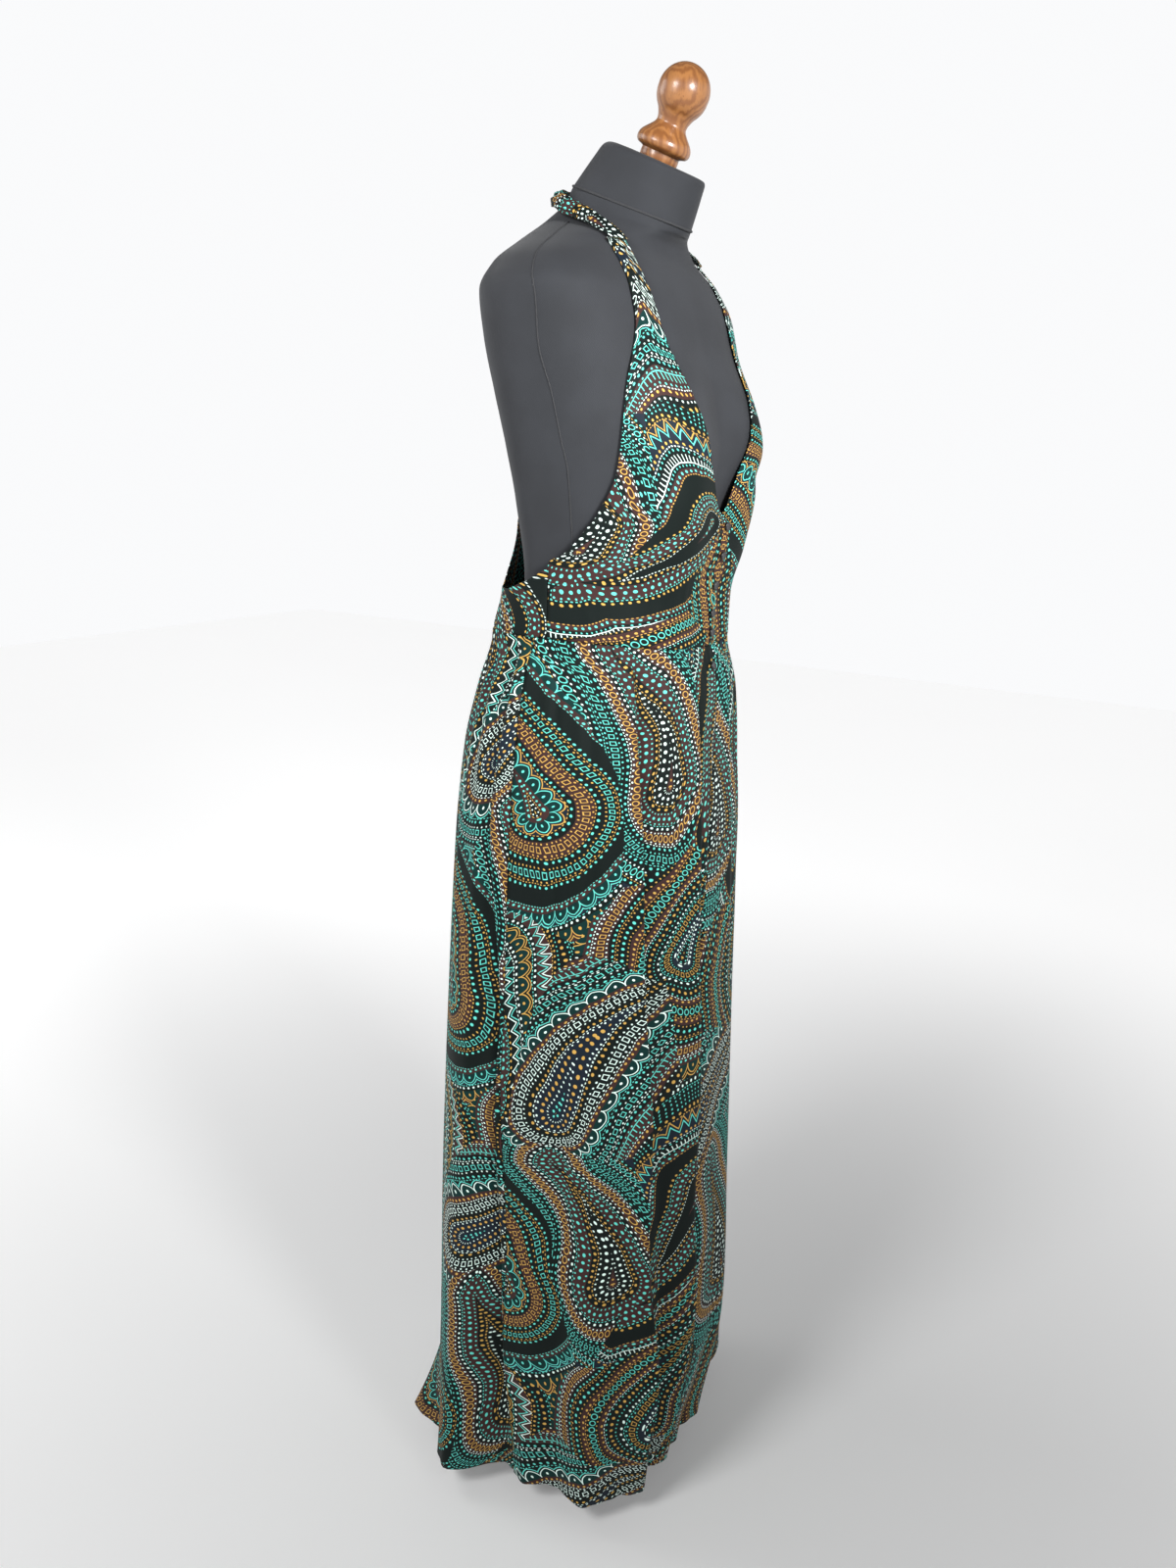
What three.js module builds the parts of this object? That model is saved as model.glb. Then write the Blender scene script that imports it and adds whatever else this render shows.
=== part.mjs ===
// A long halter dress on a limbless dress form, in millimetres.
// The origin is on the floor at the centre of the round base. +X is the wearer's left, -Y is the
// front and +Z is up. Angles run round the body: 0 at the front, 90 at the wearer's left,
// 180 at the back and -90 at the wearer's right.
import * as THREE from "three";

// Driving dimensions
const CLOTH = 1.5; // wall of the printed crepe
const SEAM_GAP = 0.3; // between two pieces that are sewn or seated together
const FORM_GAP = 1.8; // between the form and the cloth that lies on it
const FORM_BOTTOM = 700;
const COLLAR_SEAM = 1434.3; // where the neck cap meets the torso, on the form's centre line
const WAIST_SIDE = 1022; // waist seam at the sides and back
const WAIST_DIP = 12; // how much lower the waist seam is at the centre front
const HEM = 36; // hem above the floor
const NECK_V = 1141; // bottom of the V neck
const PANEL_TOP = 1386; // where the front panels are gathered into the neck strap
const SIDE_SEAM = 83; // angle of the bodice side seams
const SKIRT_SEAM = 90; // angle of the skirt side seams
const BUTTON_ANGLE = 5; // the button line lies a little to the wearer's left of the centre
const LAP_EDGE = 9; // free edge of the right front, which laps over the left front
const UNDERLAP_EDGE = 0; // edge of the left front, under the lap
const NECK_LEAN = 20.3; // how much the collar seam tips forward, in degrees
const NECK_CENTRE = -17; // the collar seam's centre lies this far in front of the origin
const NECK_FORWARD = 7.6; // how far the cap's top stands in front of its seam
const NECK_HEIGHT = 47;
const FINIAL_FORWARD = 7.6;
const FINIAL_LEAN = 2.9; // how much more than the seam the finial tips forward
const POLE_RADIUS = 14;
const BASE_RADIUS = 100;

const DEGREE = Math.PI / 180;

// Sections of the form: half width at the side, depth to the front and to the back, how square
// the corners are, and how much the section tips down towards the front, in degrees.
const FORM = [
  { z: 700, side: 150, front: 100, back: 98, square: 2.2, tip: 0 },
  { z: 730, side: 162, front: 110, back: 110, square: 2.2, tip: 0 },
  { z: 810, side: 166, front: 114, back: 116, square: 2.2, tip: 0 },
  { z: 900, side: 155, front: 110, back: 95, square: 2.2, tip: 0 },
  { z: 1010, side: 128, front: 104, back: 56, square: 2.2, tip: 0 },
  { z: 1080, side: 132, front: 110, back: 50, square: 2.2, tip: 0 },
  { z: 1150, side: 146, front: 119, back: 57, square: 2.2, tip: 0 },
  { z: 1200, side: 156, front: 122, back: 66, square: 2.3, tip: 0 },
  { z: 1250, side: 164, front: 115, back: 79, square: 2.4, tip: 0 },
  { z: 1300, side: 170, front: 98, back: 91, square: 2.5, tip: 0 },
  { z: 1340, side: 172, front: 85, back: 95, square: 2.6, tip: 0 },
  { z: 1365, side: 154, front: 72, back: 92, square: 2.5, tip: 0 },
  { z: 1390, side: 110, front: 59, back: 89, square: 2.3, tip: 0 },
  { z: 1407, side: 78, front: 65, back: 67, square: 2.1, tip: 7 },
  { z: 1420, side: 63, front: 71, back: 50, square: 2.0, tip: 14.5 },
  { z: COLLAR_SEAM, side: 56, front: 75, back: 41, square: 2.0, tip: NECK_LEAN },
];
const BUST = { x: 78, z: 1205, width: 46, above: 68, below: 46, height: 22.5 };

// Sections of the bodice where it hangs clear of the form.
const BODICE = [
  { z: 1010, side: 141, front: 116, back: 98, square: 2.2 },
  { z: 1024, side: 141, front: 115, back: 95, square: 2.2 },
  { z: 1060, side: 140, front: 114, back: 83, square: 2.2 },
  { z: 1110, side: 143, front: 122, back: 78, square: 2.2 },
  { z: 1160, side: 150, front: 124, back: 86, square: 2.2 },
  { z: 1205, side: 150, front: 120, back: 80, square: 2.3 },
  { z: 1260, side: 150, front: 105, back: 80, square: 2.3 },
];
// How far the cloth tents out below each side of the bust.
const TENT = [
  { z: 880, out: 0 },
  { z: 960, out: 4 },
  { z: 1010, out: 8 },
  { z: 1060, out: 10 },
  { z: 1110, out: 15 },
  { z: 1160, out: 20 },
  { z: 1205, out: 12 },
  { z: 1260, out: 0 },
];
const TENT_X = 72;
const TENT_WIDTH = 46;
// Soft folds from the armhole edge of the right front, and the same on the left.
const BODICE_FOLDS = [
  { angle: 53, width: 3.6, low: 1050, high: 1215, depth: 5 },
  { angle: 62, width: 2.6, low: 1105, high: 1185, depth: 3 },
];
// V neck edge and armhole edge of a front, as angles from the centre front.
const NECK_EDGE = [
  { z: NECK_V, angle: 2 },
  { z: 1165, angle: 8 },
  { z: 1204, angle: 18 },
  { z: 1250, angle: 28 },
  { z: 1298, angle: 38 },
  { z: 1340, angle: 45 },
  { z: PANEL_TOP, angle: 56 },
];
const ARMHOLE_EDGE = [
  { z: 1016, angle: SIDE_SEAM },
  { z: 1090, angle: SIDE_SEAM },
  { z: 1102, angle: 76 },
  { z: 1120, angle: 70 },
  { z: 1142, angle: 64 },
  { z: 1181, angle: 58 },
  { z: 1257, angle: 56 },
  { z: 1310, angle: 53 },
  { z: 1346, angle: 56 },
  { z: 1376, angle: 63 },
  { z: PANEL_TOP, angle: 67 },
];
// Top edge of the back, from the right side seam round to the left one.
const BACK_EDGE = [
  { angle: -277, z: 1093 },
  { angle: -253, z: 1087 },
  { angle: -240, z: 1096 },
  { angle: -220, z: 1120 },
  { angle: -200, z: 1142 },
  { angle: -180, z: 1148 },
  { angle: -160, z: 1146 },
  { angle: -146, z: 1128 },
  { angle: -134, z: 1088 },
  { angle: -122, z: 1064 },
  { angle: -107, z: 1065 },
  { angle: -94, z: 1075 },
  { angle: -SIDE_SEAM, z: 1090 },
];

// Sections of the skirt without its flutes.
const SKIRT = [
  { z: HEM, side: 164, front: 162, back: 150, square: 2.0 },
  { z: 200, side: 166, front: 184, back: 150, square: 2.05 },
  { z: 400, side: 168, front: 172, back: 152, square: 2.1 },
  { z: 600, side: 170, front: 160, back: 146, square: 2.15 },
  { z: 800, side: 170, front: 149, back: 135, square: 2.2 },
  { z: 900, side: 163, front: 139, back: 127, square: 2.2 },
  { z: 960, side: 152, front: 131, back: 114, square: 2.2 },
  { z: 1010, side: 141, front: 116, back: 98, square: 2.2 },
  { z: 1024, side: 141, front: 115, back: 95, square: 2.2 },
];
// Crests and hollows of the skirt: the angle of each at the waist and at the hem, how far it
// stands out at the hem, and the height at which it starts.
const FLUTES = [
  { waist: -170, hem: -172, out: 22, start: 985 },
  { waist: -156, hem: -157, out: 3, start: 985 },
  { waist: -145, hem: -144, out: 47, start: 200 },
  { waist: -132, hem: -130, out: 18, start: 985 },
  { waist: -112, hem: -112, out: 32, start: 985 },
  { waist: -92, hem: -96, out: -30, start: 985 },
  { waist: -80, hem: -84, out: -15, start: 985 },
  { waist: -68, hem: -70, out: -20, start: 985 },
  { waist: -60, hem: -54, out: 8, start: 985 },
  { waist: -54, hem: -41, out: -2, start: 985 },
  { waist: -49, hem: -31, out: 4, start: 985 },
  { waist: -40, hem: -23, out: -26, start: 985 },
  { waist: -26, hem: -13, out: -15, start: 985 },
  { waist: -16, hem: -5, out: -24, start: 985 },
  { waist: 4, hem: 9, out: -26, start: 985 },
  { waist: 20, hem: 24, out: -9, start: 985 },
  { waist: 36, hem: 38, out: -24, start: 985 },
  { waist: 58, hem: 60, out: 54, start: 985 },
  { waist: 80, hem: 80, out: -14, start: 985 },
  { waist: 100, hem: 100, out: 28, start: 985 },
  { waist: 118, hem: 118, out: -14, start: 985 },
  { waist: 137, hem: 136, out: 34, start: 985 },
  { waist: 152, hem: 151, out: 18, start: 985 },
  { waist: 169, hem: 169, out: 72, start: 985 },
];
// The centre front seam of the skirt swings to the wearer's right on its way down.
const FRONT_SEAM = [
  { z: HEM, angle: -13 },
  { z: 650, angle: -12 },
  { z: 850, angle: -6 },
  { z: 1010, angle: BUTTON_ANGLE + 4 },
];

// The gathered strap goes round the back of the neck, as angles and form sections.
const STRAP = [
  { angle: 61.5, section: PANEL_TOP + 1.1 },
  { angle: 66, section: 1394 },
  { angle: 73, section: 1400 },
  { angle: 84, section: 1406 },
  { angle: 98, section: 1411 },
  { angle: 120, section: 1417 },
  { angle: 150, section: 1421 },
  { angle: 180, section: 1423 },
];
const STRAP_ENDS = { width: 20, thickness: 5 };
const STRAP_ROLL = { width: 16, thickness: 11 };
const STRAP_GAP = 1.75; // between the form and the strap
const STRAP_GATHERS = 5;

const BUTTON_HEIGHTS = [1131, 1102, 1072, 1043, 1023, 988];
const BUTTON_RADIUS = 4.5;
const BUTTON_THICKNESS = 2.6;

// Radius and height of the turned finial, from its foot to its top.
const FINIAL = [
  { r: 0, h: 0 },
  { r: 18.9, h: 0 },
  { r: 19.1, h: 3 },
  { r: 18.9, h: 6.6 },
  { r: 20.4, h: 7.5 },
  { r: 24.4, h: 8.9 },
  { r: 26.5, h: 11.4 },
  { r: 27, h: 14.2 },
  { r: 26.5, h: 17 },
  { r: 24.9, h: 20.2 },
  { r: 21.8, h: 23.7 },
  { r: 18.4, h: 27.2 },
  { r: 15.9, h: 30.2 },
  { r: 14.9, h: 32.8 },
  { r: 15.2, h: 35.4 },
  { r: 16.3, h: 38.6 },
  { r: 18, h: 42.2 },
  { r: 21, h: 46.4 },
  { r: 23.6, h: 51.8 },
  { r: 24.7, h: 56.6 },
];
const FINIAL_BALL = { r: 25, centre: 61.6 };

const MATERIALS = {
  print: { color: 0x2b3a38, roughness: 0.62, metalness: 0 },
  jersey: { color: 0x3c3f44, roughness: 0.9, metalness: 0 },
  wood: { color: 0xc6864a, roughness: 0.42, metalness: 0 },
  button: { color: 0x16181a, roughness: 0.35, metalness: 0 },
  steel: { color: 0x1d1e20, roughness: 0.4, metalness: 0.6 },
};

// Curves through tables

// Slopes of a smooth curve that never overshoots its points.
function tangents(xs, ys) {
  const steps = xs.slice(1).map((x, i) => (ys[i + 1] - ys[i]) / (x - xs[i]));
  return xs.map((_, i) => {
    if (i === 0) return steps[0];
    if (i === xs.length - 1) return steps[i - 1];
    const [a, b] = [steps[i - 1], steps[i]];
    return a * b <= 0 ? 0 : (2 * a * b) / (a + b);
  });
}

// A smooth function through one column of a table, over the column named by `along`.
function column(table, along, name) {
  const xs = table.map((row) => row[along]);
  const ys = table.map((row) => row[name]);
  const slopes = tangents(xs, ys);
  return (x) => {
    const at = Math.min(Math.max(x, xs[0]), xs[xs.length - 1]);
    let i = 0;
    while (i < xs.length - 2 && at > xs[i + 1]) i += 1;
    const width = xs[i + 1] - xs[i];
    const t = (at - xs[i]) / width;
    const rise = t * t * (3 - 2 * t);
    const left = t * (1 - t) * (1 - t) * width * slopes[i];
    const right = t * t * (t - 1) * width * slopes[i + 1];
    return ys[i] * (1 - rise) + ys[i + 1] * rise + left + right;
  };
}

const mix = (a, b, t) => a + (b - a) * t;
const clamp = (x) => Math.min(Math.max(x, 0), 1);
const smooth = (x) => clamp(x) ** 2 * (3 - 2 * clamp(x));
const bell = (x) => Math.exp(-x * x);
const polar = (angle, r, z) =>
  new THREE.Vector3(r * Math.sin(angle * DEGREE), -r * Math.cos(angle * DEGREE), z);

// Radius of a section as a function of angle and height.
function sections(table) {
  const side = column(table, "z", "side");
  const front = column(table, "z", "front");
  const back = column(table, "z", "back");
  const square = column(table, "z", "square");
  return (angle, z) => {
    const sine = Math.abs(Math.sin(angle * DEGREE));
    const cosine = Math.cos(angle * DEGREE);
    const depth = cosine > 0 ? front(z) : back(z);
    const n = square(z);
    return ((sine / side(z)) ** n + (Math.abs(cosine) / depth) ** n) ** (-1 / n);
  };
}

// Surfaces of the form and of the dress

const formSection = sections(FORM);
const formTip = column(FORM, "z", "tip");
const bodiceSection = sections(BODICE);
const skirtSection = sections(SKIRT);
const tentOut = column(TENT, "z", "out");
const neckEdge = column(NECK_EDGE, "z", "angle");
const armholeEdge = column(ARMHOLE_EDGE, "z", "angle");
const backEdge = column(BACK_EDGE, "angle", "z");
const frontSeam = column(FRONT_SEAM, "z", "angle");

const frontness = (angle) => Math.sqrt(Math.max(Math.cos(angle * DEGREE), 0));
const sideways = (angle, r) => Math.abs(r * Math.sin(angle * DEGREE));

function formRadius(angle, z) {
  const r = formSection(angle, z);
  const reach = z > BUST.z ? BUST.above : BUST.below;
  const swell = bell((sideways(angle, r) - BUST.x) / BUST.width) * bell((z - BUST.z) / reach);
  return r + BUST.height * swell * frontness(angle);
}

// A point of the form, on the section that crosses its centre line at this height.
function formPoint(angle, section) {
  const r = formRadius(angle, section);
  const tip = Math.tan(formTip(section) * DEGREE);
  return polar(angle, r, section - tip * r * Math.cos(angle * DEGREE));
}

function tent(angle, z, r) {
  return tentOut(z) * bell((sideways(angle, r) - TENT_X) / TENT_WIDTH) * frontness(angle);
}

function bodiceFolds(angle, z) {
  return BODICE_FOLDS.reduce((sum, fold) => {
    const middle = (fold.low + fold.high) / 2;
    const reach = (fold.high - fold.low) / 2;
    const along = bell((1.6 * (z - middle)) / reach);
    return sum + fold.depth * along * bell((Math.abs(angle) - fold.angle) / fold.width);
  }, 0);
}

// The cloth hangs free where it is clear of the form and lies on it elsewhere.
function bodiceRadius(angle, z) {
  const free = bodiceSection(angle, z);
  const hanging = free + tent(angle, z, free) - bodiceFolds(angle, z);
  const steep = 1.2 * smooth((z - 1350) / 40);
  const lying = formRadius(angle, z) + FORM_GAP + steep;
  const soft = (hanging + lying + Math.hypot(hanging - lying, 5)) / 2;
  return Math.max(mix(soft, lying, clamp((z - 1230) / 60)), lying);
}

// The right front is lifted over the left front at the button line.
function lapLift(angle, z) {
  const over = smooth((angle + 8) / 7) * (1 - smooth((z - 1150) / 30));
  return (CLOTH + SEAM_GAP + 0.3) * over;
}

function fluteOut(flute, z) {
  const down = clamp((flute.start - z) / (flute.start - HEM));
  return flute.out * (0.35 * down + 0.65 * down * down);
}

function skirtFlutes(angle, z) {
  const down = clamp((WAIST_SIDE - z) / (WAIST_SIDE - HEM));
  const knots = FLUTES.map((f) => ({ angle: mix(f.waist, f.hem, down), out: fluteOut(f, z) }));
  const first = knots[0].angle;
  const turned = first + ((((angle - first) % 360) + 360) % 360);
  const next = knots.findIndex((knot) => knot.angle > turned);
  const left = knots[next < 0 ? knots.length - 1 : next - 1];
  const right = next < 0 ? { angle: first + 360, out: knots[0].out } : knots[next];
  const t = smooth((turned - left.angle) / (right.angle - left.angle));
  return mix(left.out, right.out, t);
}

function skirtRadius(angle, z) {
  const r = skirtSection(angle, z);
  return r + tent(angle, z, r) + skirtFlutes(angle, z);
}

function waistHeight(angle) {
  return WAIST_SIDE - WAIST_DIP * Math.max(Math.cos(angle * DEGREE), 0) ** 2;
}

// Solids

function solid(points, triangles) {
  const geometry = new THREE.BufferGeometry();
  const positions = points.flatMap((p) => [p.x, p.y, p.z]);
  geometry.setAttribute("position", new THREE.Float32BufferAttribute(positions, 3));
  geometry.setIndex(triangles);
  geometry.computeVertexNormals();
  return geometry;
}

// A cloth wall: `inside(u, v)` gives its inner face, with u to the wearer's left and v up.
function wall(inside, across, up, thickness = CLOTH) {
  const step = 1e-3;
  const outside = (u, v) => {
    const du = inside(Math.min(u + step, 1), v).sub(inside(Math.max(u - step, 0), v));
    const dv = inside(u, Math.min(v + step, 1)).sub(inside(u, Math.max(v - step, 0)));
    return inside(u, v).addScaledVector(du.cross(dv).normalize(), thickness);
  };
  const points = [];
  for (const face of [outside, inside]) {
    for (let j = 0; j <= up; j += 1) {
      for (let i = 0; i <= across; i += 1) points.push(face(i / across, j / up));
    }
  }
  const layer = (across + 1) * (up + 1);
  const at = (i, j, k) => k * layer + j * (across + 1) + i;
  const triangles = [];
  const quad = (a, b, c, d) => triangles.push(a, b, c, a, c, d);
  for (let j = 0; j < up; j += 1) {
    for (let i = 0; i < across; i += 1) {
      quad(at(i, j, 0), at(i + 1, j, 0), at(i + 1, j + 1, 0), at(i, j + 1, 0));
      quad(at(i, j, 1), at(i, j + 1, 1), at(i + 1, j + 1, 1), at(i + 1, j, 1));
    }
    quad(at(0, j, 0), at(0, j + 1, 0), at(0, j + 1, 1), at(0, j, 1));
    quad(at(across, j, 0), at(across, j, 1), at(across, j + 1, 1), at(across, j + 1, 0));
  }
  for (let i = 0; i < across; i += 1) {
    quad(at(i, 0, 0), at(i, 0, 1), at(i + 1, 0, 1), at(i + 1, 0, 0));
    quad(at(i, up, 0), at(i + 1, up, 0), at(i + 1, up, 1), at(i, up, 1));
  }
  return solid(points, triangles);
}

// A closed body through rings, each counter-clockwise as seen from the end of the stack.
function stack(ring, around, along) {
  const points = [];
  for (let j = 0; j <= along; j += 1) {
    for (let i = 0; i < around; i += 1) points.push(ring((360 * i) / around, j / along));
  }
  const at = (i, j) => j * around + (i % around);
  const triangles = [];
  for (let j = 0; j < along; j += 1) {
    for (let i = 0; i < around; i += 1) {
      triangles.push(at(i, j), at(i + 1, j), at(i + 1, j + 1));
      triangles.push(at(i, j), at(i + 1, j + 1), at(i, j + 1));
    }
  }
  for (const [row, foot] of [[0, true], [along, false]]) {
    const centre = new THREE.Vector3();
    for (let i = 0; i < around; i += 1) centre.addScaledVector(points[at(i, row)], 1 / around);
    points.push(centre);
    const middle = points.length - 1;
    for (let i = 0; i < around; i += 1) {
      const [a, b] = [at(i, row), at(i + 1, row)];
      triangles.push(middle, foot ? b : a, foot ? a : b);
    }
  }
  return solid(points, triangles);
}

const group = new THREE.Group();

function piece(name, geometry, material) {
  const mesh = new THREE.Mesh(geometry, new THREE.MeshStandardMaterial(MATERIALS[material]));
  mesh.name = name;
  group.add(mesh);
  return mesh;
}

// Half of a seam's gap at this radius, as an angle.
const halfGap = (r) => SEAM_GAP / 2 / r / DEGREE;

// Dress

function bodiceFront(name, side) {
  const right = side < 0;
  const inside = (u, v) => {
    const level = mix(WAIST_SIDE - WAIST_DIP / 2, PANEL_TOP, v);
    const free = right ? LAP_EDGE : UNDERLAP_EDGE;
    const open = smooth((level - NECK_V + 12) / 24);
    const inner = mix(free, side * neckEdge(level), open);
    const outer = side * (armholeEdge(level) - halfGap(140));
    const angle = right ? mix(outer, inner, u) : mix(inner, outer, u);
    const seam = waistHeight(angle) + SEAM_GAP / 2 - WAIST_SIDE + WAIST_DIP / 2;
    const z = level + seam * (1 - v) ** 2;
    const lift = right ? lapLift(angle, z) : 0;
    return polar(angle, bodiceRadius(angle, z) + lift, z);
  };
  piece(name, wall(inside, 14, 18), "print");
}

function bodiceBack() {
  const edge = SIDE_SEAM + halfGap(140);
  const inside = (u, v) => {
    const angle = mix(edge - 360, -edge, u);
    const z = mix(waistHeight(angle) + SEAM_GAP / 2, backEdge(angle), v);
    return polar(angle, bodiceRadius(angle, z), z);
  };
  piece("bodice_back", wall(inside, 30, 4), "print");
}

function skirtPanel(name, from, to, across) {
  const inside = (u, v) => {
    const level = mix(HEM, WAIST_SIDE, 1 - (1 - v) ** 1.5);
    const gap = halfGap(150);
    const angle = mix(from(level) + gap, to(level) - gap, u);
    const seam = waistHeight(angle) - SEAM_GAP / 2 - WAIST_SIDE;
    const z = level + seam * v ** 6;
    return polar(angle, skirtRadius(angle, z), z);
  };
  piece(name, wall(inside, across, 14), "print");
}

function strapSection(share) {
  const roll = smooth((0.5 - Math.abs(share - 0.5)) / 0.16);
  return {
    width: mix(STRAP_ENDS.width, STRAP_ROLL.width, roll) / 2,
    thickness: mix(STRAP_ENDS.thickness, STRAP_ROLL.thickness, roll) / 2,
    gather: 0.1 * roll,
  };
}

// The strap's centre line runs from the left front round the nape to the right front.
function neckStrap() {
  const sectionAt = column(STRAP, "angle", "section");
  const first = STRAP[0].angle;
  const angleAt = (share) => mix(first, 360 - first, share);
  const onForm = (share) => {
    const angle = angleAt(share);
    return formPoint(angle, sectionAt(angle > 180 ? 360 - angle : angle));
  };
  const step = 1e-3;
  const normalAt = (angle, section) => {
    const round = formPoint(angle + 1, section).sub(formPoint(angle - 1, section));
    const rise = formPoint(angle, section + 1).sub(formPoint(angle, section - 1));
    return round.cross(rise).normalize();
  };
  const ring = (turn, share) => {
    const angle = angleAt(share);
    const section = sectionAt(angle > 180 ? 360 - angle : angle);
    const upright = new THREE.Vector3(0, 0, share < 0.5 ? 1 : -1);
    const path = onForm(share + step).sub(onForm(share - step)).normalize();
    const along = upright.lerp(path, smooth((0.5 - Math.abs(share - 0.5)) / 0.1)).normalize();
    const normal = normalAt(angle, section);
    const away = normal.addScaledVector(along, -normal.dot(along)).normalize();
    const across = away.clone().cross(along).normalize();
    const { width, thickness, gather } = strapSection(share);
    const twist = 1 + gather * Math.cos((STRAP_GATHERS * turn + 900 * share) * DEGREE);
    return onForm(share)
      .addScaledVector(away, thickness * 1.1 + STRAP_GAP)
      .addScaledVector(across, width * twist * Math.cos(turn * DEGREE))
      .addScaledVector(away, thickness * twist * Math.sin(turn * DEGREE));
  };
  piece("neck_strap", stack(ring, 10, 28), "print");
}

// A point on the inner face of the right front and of the skirt below it.
function frontCloth(angle, z) {
  const bodice = z > waistHeight(angle);
  const radius = bodice ? bodiceRadius(angle, z) + lapLift(angle, z) : skirtRadius(angle, z);
  return polar(angle, radius, z);
}

function button(index, height) {
  const rim = BUTTON_RADIUS;
  const thick = BUTTON_THICKNESS;
  const profile = [
    new THREE.Vector2(0, 0),
    new THREE.Vector2(rim * 0.55, 0),
    new THREE.Vector2(rim, thick * 0.35),
    new THREE.Vector2(rim * 0.92, thick * 0.75),
    new THREE.Vector2(rim * 0.55, thick),
    new THREE.Vector2(0, thick),
  ];
  const mesh = piece(`button_${index + 1}`, new THREE.LatheGeometry(profile, 10), "button");
  const round = frontCloth(BUTTON_ANGLE + 1, height).sub(frontCloth(BUTTON_ANGLE - 1, height));
  const rise = frontCloth(BUTTON_ANGLE, height + 2).sub(frontCloth(BUTTON_ANGLE, height - 2));
  const normal = round.cross(rise).normalize();
  mesh.position.copy(frontCloth(BUTTON_ANGLE, height));
  mesh.position.addScaledVector(normal, CLOTH + SEAM_GAP + 0.4);
  mesh.quaternion.setFromUnitVectors(new THREE.Vector3(0, 1, 0), normal);
}

// Form and stand

function torso() {
  const closer = (share) => 1 - (1 - share) ** 1.5; // rows lie closer together at the shoulders
  const ring = (angle, share) => formPoint(angle, mix(FORM_BOTTOM, COLLAR_SEAM, closer(share)));
  piece("form_torso", stack(ring, 36, 28), "jersey");
}

// The neck cap stands on the tipped collar seam, so it is drawn in the seam's own plane.
function neckGroup() {
  const tipped = new THREE.Group();
  const lean = NECK_LEAN * DEGREE;
  tipped.rotation.x = lean;
  tipped.position.set(0, NECK_CENTRE, COLLAR_SEAM + NECK_CENTRE * Math.tan(lean));
  group.add(tipped);
  return tipped;
}

function neck(parent) {
  const lean = NECK_LEAN * DEGREE;
  const profile = [
    { h: 0, scale: 1, crown: 0 },
    { h: 18, scale: 0.945, crown: 0 },
    { h: 34, scale: 0.892, crown: 0 },
    { h: 40, scale: 0.872, crown: 0 },
    { h: 43.6, scale: 0.843, crown: 0.25 },
    { h: 45.8, scale: 0.785, crown: 0.6 },
    { h: 46.8, scale: 0.67, crown: 0.85 },
    { h: NECK_HEIGHT, scale: 0.5, crown: 1 },
  ];
  const tilt = Math.tan(FINIAL_LEAN * DEGREE);
  const rows = profile.length - 1;
  const ring = (angle, share) => {
    const { h, scale, crown } = profile[Math.round(share * rows)];
    const seam = formPoint(angle, COLLAR_SEAM);
    const depth = (seam.y - NECK_CENTRE) / Math.cos(lean);
    const y = depth * scale - (NECK_FORWARD * h) / NECK_HEIGHT;
    return new THREE.Vector3(seam.x * scale, y, h + SEAM_GAP + crown * tilt * (y + FINIAL_FORWARD));
  };
  parent.add(piece("form_neck", stack(ring, 28, rows), "jersey"));
}

function finial(parent) {
  const points = FINIAL.map(({ r, h }) => new THREE.Vector2(r, h));
  const { r, centre } = FINIAL_BALL;
  const steps = 6;
  for (let i = 0; i <= steps; i += 1) {
    const turn = (Math.PI / 2) * (1 - i / steps);
    points.push(new THREE.Vector2(r * Math.sin(turn), centre + r * Math.cos(turn)));
  }
  points[points.length - 1].x = 0;
  const mesh = piece("finial", new THREE.LatheGeometry(points, 18), "wood");
  mesh.rotation.x = Math.PI / 2 + FINIAL_LEAN * DEGREE;
  mesh.position.set(0, -FINIAL_FORWARD, NECK_HEIGHT + 2 * SEAM_GAP);
  parent.add(mesh);
}

function stand() {
  const base = [
    { r: 0, h: 0 },
    { r: BASE_RADIUS, h: 0 },
    { r: BASE_RADIUS, h: 6 },
    { r: BASE_RADIUS - 6, h: 9 },
    { r: 30, h: 15 },
    { r: 24, h: 22 },
    { r: 0, h: 22 },
  ];
  const outline = base.map(({ r, h }) => new THREE.Vector2(r, h));
  piece("stand_base", new THREE.LatheGeometry(outline, 32), "steel").rotation.x = Math.PI / 2;
  const foot = 22 + SEAM_GAP;
  const length = FORM_BOTTOM - SEAM_GAP - foot;
  const pole = new THREE.CylinderGeometry(POLE_RADIUS, POLE_RADIUS, length, 16);
  const mesh = piece("stand_pole", pole, "steel");
  mesh.rotation.x = Math.PI / 2;
  mesh.position.z = foot + length / 2;
}

stand();
torso();
const tipped = neckGroup();
neck(tipped);
finial(tipped);
bodiceFront("bodice_front_right", -1);
bodiceFront("bodice_front_left", 1);
bodiceBack();
skirtPanel("skirt_front_right", () => -SKIRT_SEAM, frontSeam, 22);
skirtPanel("skirt_front_left", frontSeam, () => SKIRT_SEAM, 22);
skirtPanel("skirt_back", () => SKIRT_SEAM, () => 360 - SKIRT_SEAM, 38);
neckStrap();
BUTTON_HEIGHTS.forEach((height, index) => button(index, height));

export default group;
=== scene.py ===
"""A long halter dress on a dress form: the looks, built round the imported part.

Lengths in the tables are millimetres. Angles run round the body in degrees: 0 is the front,
90 the wearer's left, 180 the back and -90 the wearer's right.
"""
import math

import bpy
import numpy as np
from mathutils import Matrix, Vector

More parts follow.
